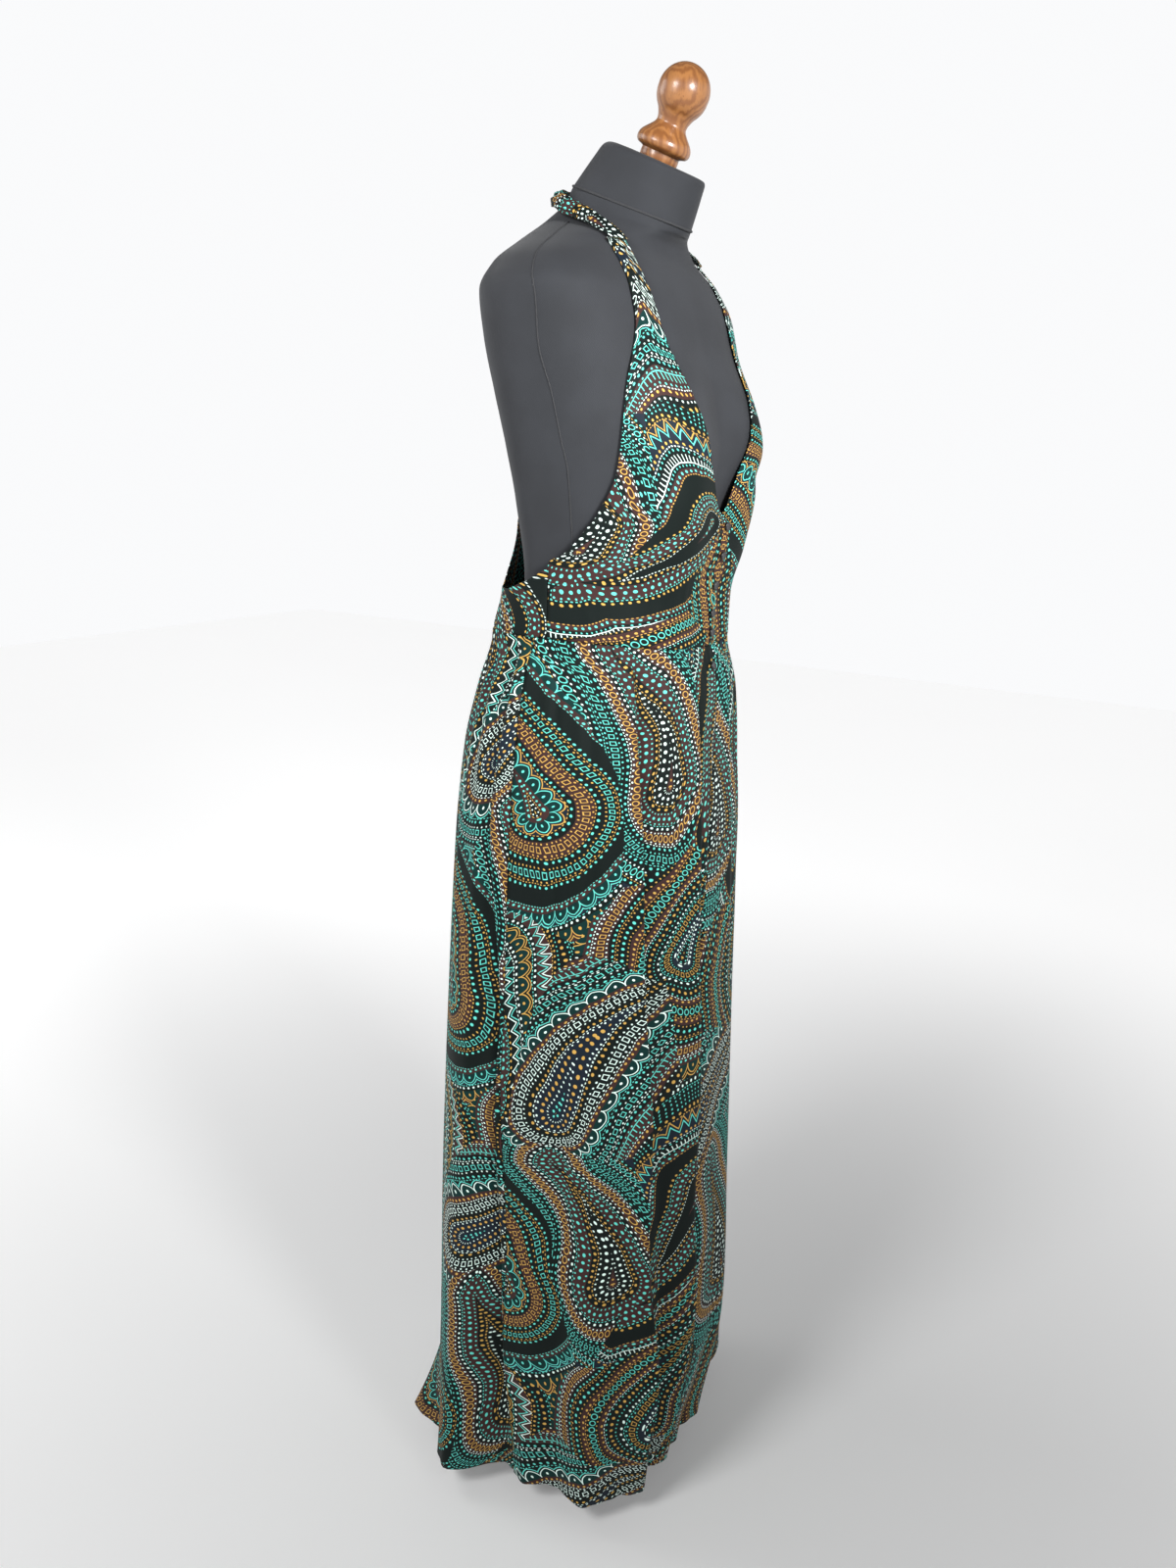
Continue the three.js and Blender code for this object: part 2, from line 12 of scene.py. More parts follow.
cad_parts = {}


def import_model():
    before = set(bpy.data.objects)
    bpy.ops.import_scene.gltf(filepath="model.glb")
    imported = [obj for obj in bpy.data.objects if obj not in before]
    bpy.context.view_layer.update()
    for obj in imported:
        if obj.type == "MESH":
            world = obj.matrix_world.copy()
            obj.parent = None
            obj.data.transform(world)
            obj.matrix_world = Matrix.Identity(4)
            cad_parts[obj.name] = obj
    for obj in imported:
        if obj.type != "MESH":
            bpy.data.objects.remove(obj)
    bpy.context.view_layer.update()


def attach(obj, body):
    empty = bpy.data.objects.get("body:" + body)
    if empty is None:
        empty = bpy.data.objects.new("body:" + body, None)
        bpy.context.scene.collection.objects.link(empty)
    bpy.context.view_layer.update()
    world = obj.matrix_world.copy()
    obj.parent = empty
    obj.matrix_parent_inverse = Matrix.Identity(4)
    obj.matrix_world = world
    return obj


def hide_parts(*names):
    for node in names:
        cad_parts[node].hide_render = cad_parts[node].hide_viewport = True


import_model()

MM = 0.001

# Driving dimensions, the same as in the part

CLOTH = 1.5
SEAM_GAP = 0.3
FORM_GAP = 1.8
STRAP_GAP = 1.75
FORM_BOTTOM = 700
COLLAR_SEAM = 1434.3
WAIST_SIDE = 1022
WAIST_DIP = 12
HEM = 36
NECK_V = 1141
PANEL_TOP = 1386
SIDE_SEAM = 83
SKIRT_SEAM = 90
BUTTON_ANGLE = 5
LAP_EDGE = 9
UNDERLAP_EDGE = 0
NECK_LEAN = 20.3
NECK_CENTRE = -17
NECK_FORWARD = 7.6
NECK_HEIGHT = 47
FINIAL_FORWARD = 7.6
FINIAL_LEAN = 2.9
POLE_RADIUS = 14
BASE_RADIUS = 100
BASE_HEIGHT = 22


def table(names, *rows):
    """A table as named columns."""
    return dict(zip(names.split(), np.array(rows, float).T))


FORM = table(
    "z side front back square tip",
    (700, 150, 100, 98, 2.2, 0),
    (730, 162, 110, 110, 2.2, 0),
    (810, 166, 114, 116, 2.2, 0),
    (900, 155, 110, 95, 2.2, 0),
    (1010, 128, 104, 56, 2.2, 0),
    (1080, 132, 110, 50, 2.2, 0),
    (1150, 146, 119, 57, 2.2, 0),
    (1200, 156, 122, 66, 2.3, 0),
    (1250, 164, 115, 79, 2.4, 0),
    (1300, 170, 98, 91, 2.5, 0),
    (1340, 172, 85, 95, 2.6, 0),
    (1365, 154, 72, 92, 2.5, 0),
    (1390, 110, 59, 89, 2.3, 0),
    (1407, 78, 65, 67, 2.1, 7),
    (1420, 63, 71, 50, 2.0, 14.5),
    (COLLAR_SEAM, 56, 75, 41, 2.0, NECK_LEAN),
)
BUST = dict(x=78, z=1205, width=46, above=68, below=46, height=22.5)
BODICE = table(
    "z side front back square",
    (1010, 141, 116, 98, 2.2),
    (1024, 141, 115, 95, 2.2),
    (1060, 140, 114, 83, 2.2),
    (1110, 143, 122, 78, 2.2),
    (1160, 150, 124, 86, 2.2),
    (1205, 150, 120, 80, 2.3),
    (1260, 150, 105, 80, 2.3),
)
TENT = table(
    "z out",
    (880, 0), (960, 4), (1010, 8), (1060, 10), (1110, 15), (1160, 20), (1205, 12), (1260, 0),
)
TENT_X = 72
TENT_WIDTH = 46
HANG = dict(top=1230, fade=60, soft=5)  # the bodice lies on the form above this height
SHOULDER = dict(z=1350, fade=40, lift=1.2)
LAP_STEP = dict(angle=-8, width=7, z=1150, fade=30, spare=0.3)
BODICE_FOLDS = table(
    "angle width low high depth",
    (53, 3.6, 1050, 1215, 5),
    (62, 2.6, 1105, 1185, 3),
)
NECK_EDGE = table(
    "z angle",
    (NECK_V, 2), (1165, 8), (1204, 18), (1250, 28), (1298, 38), (1340, 45), (PANEL_TOP, 56),
)
ARMHOLE_EDGE = table(
    "z angle",
    (1016, SIDE_SEAM), (1090, SIDE_SEAM), (1102, 76), (1120, 70), (1142, 64), (1181, 58),
    (1257, 56), (1310, 53), (1346, 56), (1376, 63), (PANEL_TOP, 67),
)
BACK_EDGE = table(
    "angle z",
    (-277, 1093), (-253, 1087), (-240, 1096), (-220, 1120), (-200, 1142), (-180, 1148),
    (-160, 1146), (-146, 1128), (-134, 1088), (-122, 1064), (-107, 1065), (-94, 1075),
    (-SIDE_SEAM, 1090),
)
SKIRT = table(
    "z side front back square",
    (HEM, 164, 162, 150, 2.0),
    (200, 166, 184, 150, 2.05),
    (400, 168, 172, 152, 2.1),
    (600, 170, 160, 146, 2.15),
    (800, 170, 149, 135, 2.2),
    (900, 163, 139, 127, 2.2),
    (960, 152, 131, 114, 2.2),
    (1010, 141, 116, 98, 2.2),
    (1024, 141, 115, 95, 2.2),
)
FLUTES = table(
    "waist hem out start",
    (-170, -172, 22, 985), (-156, -157, 3, 985), (-145, -144, 47, 200), (-132, -130, 18, 985),
    (-112, -112, 32, 985), (-92, -96, -30, 985), (-80, -84, -15, 985), (-68, -70, -20, 985),
    (-60, -54, 8, 985), (-54, -41, -2, 985), (-49, -31, 4, 985), (-40, -23, -26, 985),
    (-26, -13, -15, 985), (-16, -5, -24, 985), (4, 9, -26, 985), (20, 24, -9, 985),
    (36, 38, -24, 985), (58, 60, 54, 985), (80, 80, -14, 985), (100, 100, 28, 985),
    (118, 118, -14, 985), (137, 136, 34, 985), (152, 151, 18, 985), (169, 169, 72, 985),
)
FLUTE_GROWTH = (0.35, 0.65)  # shares that grow in a straight line and by the square
FRONT_SEAM = table("z angle", (HEM, -13), (650, -12), (850, -6), (1010, BUTTON_ANGLE + 4))
STRAP = table(
    "angle section",
    (61.5, PANEL_TOP + 1.1), (66, 1394), (73, 1400), (84, 1406), (98, 1411), (120, 1417),
    (150, 1421), (180, 1423),
)
BUTTON_HEIGHTS = (1131, 1102, 1072, 1043, 1023, 988)
BUTTON_RADIUS = 4.5
BUTTON_THICKNESS = 2.6
CAP = table(
    "h scale crown",
    (0, 1, 0), (18, 0.945, 0), (34, 0.892, 0), (40, 0.872, 0), (43.6, 0.843, 0.25),
    (45.8, 0.785, 0.6), (46.8, 0.67, 0.85), (NECK_HEIGHT, 0.5, 1),
)
FINIAL = table(
    "r h",
    (18.9, 0), (19.1, 3), (18.9, 6.6), (20.4, 7.5), (24.4, 8.9), (26.5, 11.4), (27, 14.2),
    (26.5, 17), (24.9, 20.2), (21.8, 23.7), (18.4, 27.2), (15.9, 30.2), (14.9, 32.8),
    (15.2, 35.4), (16.3, 38.6), (18, 42.2), (21, 46.4), (23.6, 51.8), (24.7, 56.6),
)
FINIAL_BALL = dict(r=25, centre=61.6)

# Details that only show here

SHELL = 0.8  # thickness of the cloth
SEWN_EDGE = dict(sides=3.2, ends=3.0, depth=0.9)  # how far in and how deep a sewn edge rolls
HUG = dict(z=1310, fade=50, depth=1.6)  # the bodice lies closer above this height
HIPS = dict(gap=0.8, soft=1.5, below=15)  # the skirt keeps clear of the form's hips
DEEP_PLEAT = 4.5  # a pleat deeper than this leans over its recess
PLEAT_LEAN = 1.35
PLEAT_FADE = dict(top=26, low=220)
STRAP_WIDTH = (20, 16)  # at the fronts and at the nape, like the thickness
STRAP_THICKNESS = (5, 11)
STRAP_GIRTH = 64
STRAP_TURN = 0.10  # share of its run in which each end turns from upright to its path
STRAP_ROLL = 0.16  # and in which it rolls up
STRAP_FOLDS = ((0.10, 6, 1500), (0.05, 11, -2300))  # size, waves round it, degrees along it
BUTTON_LIFT = 0.4
SEAM_RADIUS = 0.75
PIPING_RADIUS = 1.3
POLE_JOINT = 420  # the pole is slimmer up to here
POLE_STEP = 0.8
HEM_REACH = 34
HEM_WAVES = ((1.5, 0.31, 1.3), (1.1, 0.53, 0.7), (0.7, 0.97, 0.0))  # size, rate and start

# A pleat edge stands out on its left and falls into a recess on its right, the other way round
# where its depth is negative. Angles are at the waist and at the hem, depth is in mm and width
# in degrees.
PLEATS = table(
    "waist hem depth width top low",
    (-51, -30, 10.0, 3.6, 1012, 40),
    (-20, -9, 6.5, 3.2, 1008, 120),
    (-95, -92, -9.5, 3.2, 1014, 40),
    (-103, -106, 4.0, 3.0, 1018, 330),
    (-112, -118, 2.6, 2.6, 1018, 700),
    (-78, -72, 4.0, 2.4, 1016, 460),
    (-66, -58, 4.4, 2.8, 1014, 300),
    (-36, -27, -2.2, 2.6, 1010, 760),
    (14, 20, 2.6, 3.0, 1010, 560),
    (30, 36, -2.4, 3.0, 1012, 640),
    (51, 50, 8.0, 4.0, 1012, 60),
    (72, 76, -2.4, 3.0, 1016, 700),
    (94, 92, 3.0, 3.0, 1016, 620),
    (124, 126, 3.4, 3.6, 1020, 300),
    (150, 146, -2.8, 3.4, 1020, 420),
    (173, 176, 2.6, 3.4, 1020, 360),
    (-162, -164, -3.0, 3.4, 1020, 380),
    (-138, -136, 3.2, 3.6, 1020, 300),
    (-122, -120, -2.4, 2.8, 1020, 560),
)
# Soft creases of the bodice, from (angle, z) to (angle, z), negative depth for a ridge.
CREASES = table(
    "angle_a z_a angle_b z_b depth width",
    (-55, 1196, -51, 1062, 2.4, 5.0),
    (-60, 1172, -58, 1100, 1.5, 3.5),
    (-64, 1142, -62, 1082, 1.3, 3.5),
    (-48, 1150, -44, 1050, -1.3, 5.0),
    (-70, 1110, -66, 1040, -1.0, 4.5),
    (-36, 1110, -34, 1034, 1.2, 4.0),
    (-24, 1090, -23, 1030, -1.0, 3.5),
    (-13, 1075, -12, 1026, 1.0, 3.0),
    (55, 1196, 51, 1062, 2.2, 5.0),
    (61, 1168, 57, 1088, 1.4, 3.5),
    (46, 1150, 42, 1050, -1.2, 5.0),
    (32, 1110, 33, 1034, 1.2, 4.0),
    (20, 1085, 21, 1028, -1.0, 3.5),
)

SIDE_SEAM_LINE = table(
    "z angle",
    (FORM_BOTTOM + 4, 88), (900, 80), (1080, 74), (1180, 75), (1206, 77), (1248, 80), (1289, 84),
    (1330, 85), (1366, 89), (1392, 93), (1404, 95),
)
BACK_SEAM_LINE = table(
    "z angle", (FORM_BOTTOM + 4, 148), (1000, 140), (1150, 138), (1300, 146), (1380, 152), (1424, 160)
)

# Curves through tables


def tangents(xs, ys):
    """Slopes of a smooth curve that never overshoots its points."""
    steps = np.diff(ys) / np.diff(xs)
    slopes = np.empty_like(ys)
    slopes[0] = steps[0]
    slopes[-1] = steps[-1]
    for i in range(1, len(xs) - 1):
        a, b = steps[i - 1], steps[i]
        slopes[i] = 0 if a * b <= 0 else 2 * a * b / (a + b)
    return slopes


def curve(rows, along, name):
    """A smooth function through one column of a table."""
    xs = rows[along]
    ys = rows[name]
    slopes = tangents(xs, ys)

    def at(x):
        x = np.clip(np.asarray(x, float), xs[0], xs[-1])
        i = np.clip(np.searchsorted(xs, x, side="left") - 1, 0, len(xs) - 2)
        width = xs[i + 1] - xs[i]
        t = (x - xs[i]) / width
        rise = t * t * (3 - 2 * t)
        left = t * (1 - t) ** 2 * width * slopes[i]
        right = t * t * (t - 1) * width * slopes[i + 1]
        return ys[i] * (1 - rise) + ys[i + 1] * rise + left + right

    return at


def mix(a, b, t):
    return a + (b - a) * t


def smooth(x):
    x = np.clip(x, 0, 1)
    return x * x * (3 - 2 * x)


def bell(x):
    return np.exp(-x * x)


def fading(distance, reach):
    """1 up to a seam or hem, dying away beyond it."""
    return np.exp(-np.clip(distance, 0, 400) / reach)


def sin_deg(angle):
    return np.sin(np.radians(angle))


def cos_deg(angle):
    return np.cos(np.radians(angle))


def unit(vectors):
    return vectors / np.linalg.norm(vectors, axis=-1, keepdims=True)


def polar(angle, r, z):
    angle, r, z = np.broadcast_arrays(angle, r, z)
    return np.stack([r * sin_deg(angle), -r * cos_deg(angle), z], -1)


def sections(rows):
    names = ("side", "front", "back", "square")
    side, front, back, square = (curve(rows, "z", name) for name in names)

    def radius(angle, z):
        cosine = cos_deg(angle)
        depth = np.where(cosine > 0, front(z), back(z))
        n = square(z)
        return ((abs(sin_deg(angle)) / side(z)) ** n + (abs(cosine) / depth) ** n) ** (-1 / n)

    return radius


# Surfaces of the form and of the dress

form_section = sections(FORM)
form_tip = curve(FORM, "z", "tip")
bodice_section = sections(BODICE)
skirt_section = sections(SKIRT)
tent_out = curve(TENT, "z", "out")
neck_edge = curve(NECK_EDGE, "z", "angle")
armhole_edge = curve(ARMHOLE_EDGE, "z", "angle")
back_edge = curve(BACK_EDGE, "angle", "z")
front_seam = curve(FRONT_SEAM, "z", "angle")
strap_section = curve(STRAP, "angle", "section")


def frontness(angle):
    return np.sqrt(np.clip(cos_deg(angle), 0, 1))


def form_radius(angle, z):
    r = form_section(angle, z)
    reach = np.where(z > BUST["z"], BUST["above"], BUST["below"])
    swell = bell((abs(r * sin_deg(angle)) - BUST["x"]) / BUST["width"])
    return r + BUST["height"] * swell * bell((z - BUST["z"]) / reach) * frontness(angle)


def form_point(angle, section, out=0.0):
    r = form_radius(angle, section) + out
    tip = np.tan(np.radians(form_tip(section)))
    return polar(angle, r, section - tip * r * cos_deg(angle))


def tent(angle, z, r):
    return tent_out(z) * bell((abs(r * sin_deg(angle)) - TENT_X) / TENT_WIDTH) * frontness(angle)


def bodice_folds(angle, z):
    total = 0
    for fold in rows_of(BODICE_FOLDS):
        middle = (fold["low"] + fold["high"]) / 2
        reach = (fold["high"] - fold["low"]) / 2
        across = bell((abs(angle) - fold["angle"]) / fold["width"])
        total = total + fold["depth"] * bell(1.6 * (z - middle) / reach) * across
    return total


def rows_of(rows):
    return [dict(zip(rows, values)) for values in zip(*rows.values())]


def bodice_radius(angle, z):
    """The cloth hangs free where it is clear of the form and lies on it elsewhere."""
    free = bodice_section(angle, z)
    hanging = free + tent(angle, z, free) - bodice_folds(angle, z)
    steep = SHOULDER["lift"] * smooth((z - SHOULDER["z"]) / SHOULDER["fade"])
    lying = form_radius(angle, z) + FORM_GAP + steep
    soft = (hanging + lying + np.hypot(hanging - lying, HANG["soft"])) / 2
    high = np.clip((z - HANG["top"]) / HANG["fade"], 0, 1)
    return np.maximum(mix(soft, lying, high), lying)


def lap_lift(angle, z):
    """The right front is lifted over the left front at the button line."""
    lift = CLOTH + SEAM_GAP + LAP_STEP["spare"]
    over = smooth((angle - LAP_STEP["angle"]) / LAP_STEP["width"])
    return lift * over * (1 - smooth((z - LAP_STEP["z"]) / LAP_STEP["fade"]))


def skirt_flutes(angle, z):
    down = np.clip((WAIST_SIDE - z) / (WAIST_SIDE - HEM), 0, 1)[..., None]
    knots = mix(FLUTES["waist"], FLUTES["hem"], down)
    fall = np.clip((FLUTES["start"] - z[..., None]) / (FLUTES["start"] - HEM), 0, 1)
    straight, squared = FLUTE_GROWTH
    out = FLUTES["out"] * (straight * fall + squared * fall**2)
    first = knots[..., :1]
    turned = first + (angle[..., None] - first) % 360
    knots = np.concatenate([knots, first + 360], -1)
    out = np.concatenate([out, out[..., :1]], -1)
    i = np.clip((knots <= turned).sum(-1, keepdims=True) - 1, 0, knots.shape[-1] - 2)
    left = np.take_along_axis(knots, i, -1)
    right = np.take_along_axis(knots, i + 1, -1)
    t = smooth((turned - left) / (right - left))
    low = np.take_along_axis(out, i, -1)
    return mix(low, np.take_along_axis(out, i + 1, -1), t)[..., 0]


def waist_height(angle):
    return WAIST_SIDE - WAIST_DIP * np.clip(cos_deg(angle), 0, 1) ** 2


# Folds and creases laid over the main shape


def turn_from(angle, other):
    return (angle - other + 180) % 360 - 180


def pleat_place(row, angle, z):
    """Place across one pleat, in its widths, and how fully it stands there."""
    down = np.clip((WAIST_SIDE - z) / (WAIST_SIDE - HEM), 0, 1)
    wander = 0.8 * np.sin(z / 71 + row["waist"])
    x = turn_from(angle, mix(row["waist"], row["hem"], down) + wander) / row["width"]
    start = smooth((row["top"] - z) / PLEAT_FADE["top"])
    end = smooth((z - row["low"]) / PLEAT_FADE["low"])
    uneven = 0.8 + 0.2 * np.sin(z / 53 + 2 * row["waist"])
    return x, start * end * uneven


def pleats(angle, z):
    """Pleat edges of the skirt: a rounded ridge beside a recess."""
    total = 0
    for row in rows_of(PLEATS):
        x, full = pleat_place(row, angle, z)
        total = total - row["depth"] * x * np.exp(0.5 - x * x) * full
    return total


def pleat_turn(angle, z):
    """How far the ridge of a deep pleat leans over its recess, in degrees."""
    total = 0
    for row in rows_of(PLEATS):
        if abs(row["depth"]) > DEEP_PLEAT:
            x, full = pleat_place(row, angle, z)
            side = math.copysign(1, row["depth"])
            lean = PLEAT_LEAN * np.exp(-1.5 * (x + 0.7 * side) ** 2)
            total = total + side * row["width"] * lean * full
    return total


def gathers(angle, z):
    """Fine puckers that run out a little below the waist seam."""
    waves = np.sin(1.31 * angle + 1.1) + 0.7 * np.sin(2.17 * angle + 0.4 * np.sin(0.3 * angle))
    return 0.55 * fading(WAIST_SIDE - z, 26) * waves


def hem_ripple(angle, z):
    waves = sum(size * np.sin(rate * angle + start) for size, rate, start in HEM_WAVES)
    return fading(z - HEM, HEM_REACH) * waves


def creases(angle, z):
    """Soft creases of the bodice along straight lines of angle and height."""
    total = 0
    for row in rows_of(CREASES):
        length = row["z_a"] - row["z_b"]
        t = (row["z_a"] - z) / length
        wander = 0.7 * np.sin(z / 17 + row["angle_a"])
        middle = mix(row["angle_a"], row["angle_b"], t) + wander
        x = (angle - middle) * 2.4 / row["width"]
        fade = smooth(t / 0.25 + 0.3) * smooth((1.15 - t) / 0.3)
        total = total + row["depth"] * (bell(x) - 0.45 * bell(x / 2)) * fade
    return total


def skirt_surface(angle, z):
    r = skirt_section(angle, z)
    r = r + tent(angle, z, r) + skirt_flutes(angle, z)
    r = r + pleats(angle, z) + gathers(angle, z) + hem_ripple(angle, z)
    on_form = z > FORM_BOTTOM - HIPS["below"]
    hips = np.where(on_form, form_radius(angle, z) + HIPS["gap"], 0)
    return (r + hips + np.hypot(r - hips, HIPS["soft"])) / 2


def bodice_surface(angle, z):
    high = smooth((z - HUG["z"]) / HUG["fade"])
    hug = HUG["depth"] * high
    lying = form_radius(angle, z) + FORM_GAP - 0.5 - 0.9 * high
    puckers = 0.4 * fading(z - waist_height(angle), 14) * np.sin(1.7 * angle)
    gathered = 0.8 * smooth((z - 1290) / 90) * np.sin(0.83 * (abs(angle) - 45) * 1.9)
    r = bodice_radius(angle, z) - creases(angle, z) + puckers + gathered - hug
    return np.maximum(r, lying)


# Meshes


def link_object(name, data):
    obj = bpy.data.objects.new(name, data)
    bpy.context.scene.collection.objects.link(obj)
    return obj


def make_object(name, points, faces, uvs=None):
    """A mesh object from points in millimetres; uvs holds one pair for each point."""
    mesh = bpy.data.meshes.new(name)
    mesh.from_pydata((np.asarray(points).reshape(-1, 3) * MM).tolist(), [], faces)
    mesh.update()
    if uvs is not None:
        layer = mesh.uv_layers.new(name="cloth")
        corner = np.empty(len(mesh.loops), np.int64)
        mesh.loops.foreach_get("vertex_index", corner)
        layer.data.foreach_set("uv", np.asarray(uvs, np.float32)[corner].ravel())
    mesh.polygons.foreach_set("use_smooth", [True] * len(mesh.polygons))
    return link_object(name, mesh)


def grid_normals(points):
    du = np.gradient(points, axis=1)
    dv = np.gradient(points, axis=0)
    return unit(np.cross(du, dv))


def lengths(points, axis):
    """Running length along one direction of a grid."""
    steps = np.linalg.norm(np.diff(points, axis=axis), axis=-1)
    start = np.zeros_like(np.take(points[..., 0], [0], axis=axis))
    return np.concatenate([start, np.cumsum(steps, axis=axis)], axis=axis)


def flat_pattern(points, spin, shift):
    """Where each point lies on the flat cloth, in metres."""
    rows, columns = points.shape[:2]
    across = lengths(points, 1)
    across = across - across[:, columns // 2][:, None]
    up = lengths(points, 0)
    turn = math.radians(spin)
    x = across * math.cos(turn) - up * math.sin(turn) + shift[0]
    y = across * math.sin(turn) + up * math.cos(turn) + shift[1]
    return np.stack([x, y], -1) * MM


def grid_faces(rows, columns):
    """Faces of a closed shell: an outer grid, an inner grid and a rim."""
    layer = rows * columns
    index = np.arange(layer).reshape(rows, columns)
    a = index[:-1, :-1].ravel()
    outer = np.stack([a, a + 1, a + columns + 1, a + columns], -1)
    inner = outer[:, ::-1] + layer
    ring = np.concatenate([index[0, :-1], index[:-1, -1], index[-1, :0:-1], index[:0:-1, 0]])
    after = np.roll(ring, -1)
    rim = np.stack([ring, ring + layer, after + layer, after], -1)
    return np.concatenate([outer, inner, rim]).tolist()


def roll_in(share, size, reach, sewn):
    """How far a sewn edge turns in, across one direction of a panel of this size."""
    ends = zip((share, 1 - share), sewn)
    return sum((1 - smooth(x * size / reach)) ** 1.5 for x, is_sewn in ends if is_sewn)


def cloth(name, inside, across, up, spin, shift, sewn_sides=(1, 1), sewn_ends=(0, 1)):
    """A thin shell on the part's own wall; inside(u, v) is the wall's inner face."""
    u, v = np.meshgrid(np.linspace(0, 1, across + 1), np.linspace(0, 1, up + 1))
    points = inside(u, v)
    normals = grid_normals(points)
    width = lengths(points, 1)[:, -1:]
    height = lengths(points, 0)[-1:, :]
    turned = roll_in(u, width, SEWN_EDGE["sides"], sewn_sides)
    turned = turned + roll_in(v, height, SEWN_EDGE["ends"], sewn_ends)
    outer = points + normals * (CLOTH - SEWN_EDGE["depth"] * np.minimum(turned, 1))[..., None]
    inner = outer - normals * SHELL
    uvs = flat_pattern(points, spin, shift).reshape(-1, 2)
    both = np.concatenate([outer.reshape(-1, 3), inner.reshape(-1, 3)])
    faces = grid_faces(up + 1, across + 1)
    return make_object(name, both, faces, np.concatenate([uvs, uvs]))


def ring_faces(count, around, closed=False):
    """Faces between rings of points; the last ring joins the first where closed."""
    j, i = np.mgrid[0 : count if closed else count - 1, 0:around]
    low, high = j * around, (j + 1) % count * around
    k = (i + 1) % around
    return np.stack([low + i, low + k, high + k, high + i], -1).reshape(-1, 4).tolist()


def tube(name, path, radius, around=8, closed=False):
    """A tube along a path of points in millimetres."""
    count = len(path)
    ahead = np.roll(path, -1, 0) - np.roll(path, 1, 0)
    if not closed:
        ahead = np.gradient(path, axis=0)
    ahead = unit(ahead)
    level = abs(ahead[:, 2]).mean() < 0.7
    side = unit(np.cross(ahead, (0, 0, 1) if level else (1, 0, 0)))
    rise = np.cross(side, ahead)
    turn = np.linspace(0, 2 * np.pi, around, endpoint=False)[None, :, None]
    ring = side[:, None] * np.cos(turn) + rise[:, None] * np.sin(turn)
    faces = [[a, d, c, b] for a, b, c, d in ring_faces(count, around, closed)]
    if not closed:
        faces.append(list(range(around)))
        faces.append([(count - 1) * around + i for i in range(around)][::-1])
    return make_object(name, path[:, None] + radius * ring, faces)


def stack(name, rings, uvs=None):
    """A closed body through rings of points, each counter-clockwise from the end."""
    rings = np.asarray(rings, float)
    count, around = rings.shape[:2]
    last = (count - 1) * around
    caps = [list(range(around))[::-1], [last + k for k in range(around)]]
    return make_object(name, rings, ring_faces(count, around) + caps, uvs)


def lathe(name, profile, around):
    """A turned body from radii and heights that start and end on the axis."""
    angles = np.linspace(0, 2 * np.pi, around, endpoint=False)
    middle = profile[1:-1]
    rings = [
        np.stack([r * np.cos(angles), r * np.sin(angles), np.full(around, h)], -1)
        for r, h in middle
    ]
    points = np.concatenate([*rings, [[0, 0, profile[0][1]], [0, 0, profile[-1][1]]]])
    faces = ring_faces(len(middle), around)
    foot = len(points) - 2
    last = (len(middle) - 1) * around
    for i in range(around):
        k = (i + 1) % around
        faces.append([foot, k, i])
        faces.append([foot + 1, last + i, last + k])
    return make_object(name, points, faces)


def soften(obj, angle):
    """Keeps corners sharper than the angle sharp under smooth shading."""
    obj.data.set_sharp_from_angle(angle=math.radians(angle))
    return obj


def place(obj, matrix):
    obj.data.transform(matrix)
    obj.data.update()
    return obj


def finish_piece(obj, material, slot, *nodes):
    obj.data.materials.append(material)
    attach(obj, "root")
    if nodes:
        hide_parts(*nodes)
    return obj


# Material graphs


def maths_node(operation, swapped=False):
    """A method that takes its values into a maths node."""

    def apply(self, *others):
        values = (*others, self) if swapped else (self, *others)
        return self.graph.math(operation, *values)

    return apply


class Number:
    """A value in a shader graph that takes ordinary arithmetic."""

    def __init__(self, graph, socket):
        self.graph = graph
        self.socket = socket

    __add__ = __radd__ = maths_node("ADD")
    __sub__ = maths_node("SUBTRACT")
    __rsub__ = maths_node("SUBTRACT", swapped=True)
    __mul__ = __rmul__ = maths_node("MULTIPLY")
    __truediv__ = maths_node("DIVIDE")
    __abs__ = maths_node("ABSOLUTE")
    __lt__ = maths_node("LESS_THAN")
    __gt__ = maths_node("GREATER_THAN")
    floor = maths_node("FLOOR")
    min = maths_node("MINIMUM")
    max = maths_node("MAXIMUM")

    def cell(self, size):
        """Distance from the middle of the nearest cell of this size."""
        return self.graph.math("WRAP", self, size / 2, -size / 2)


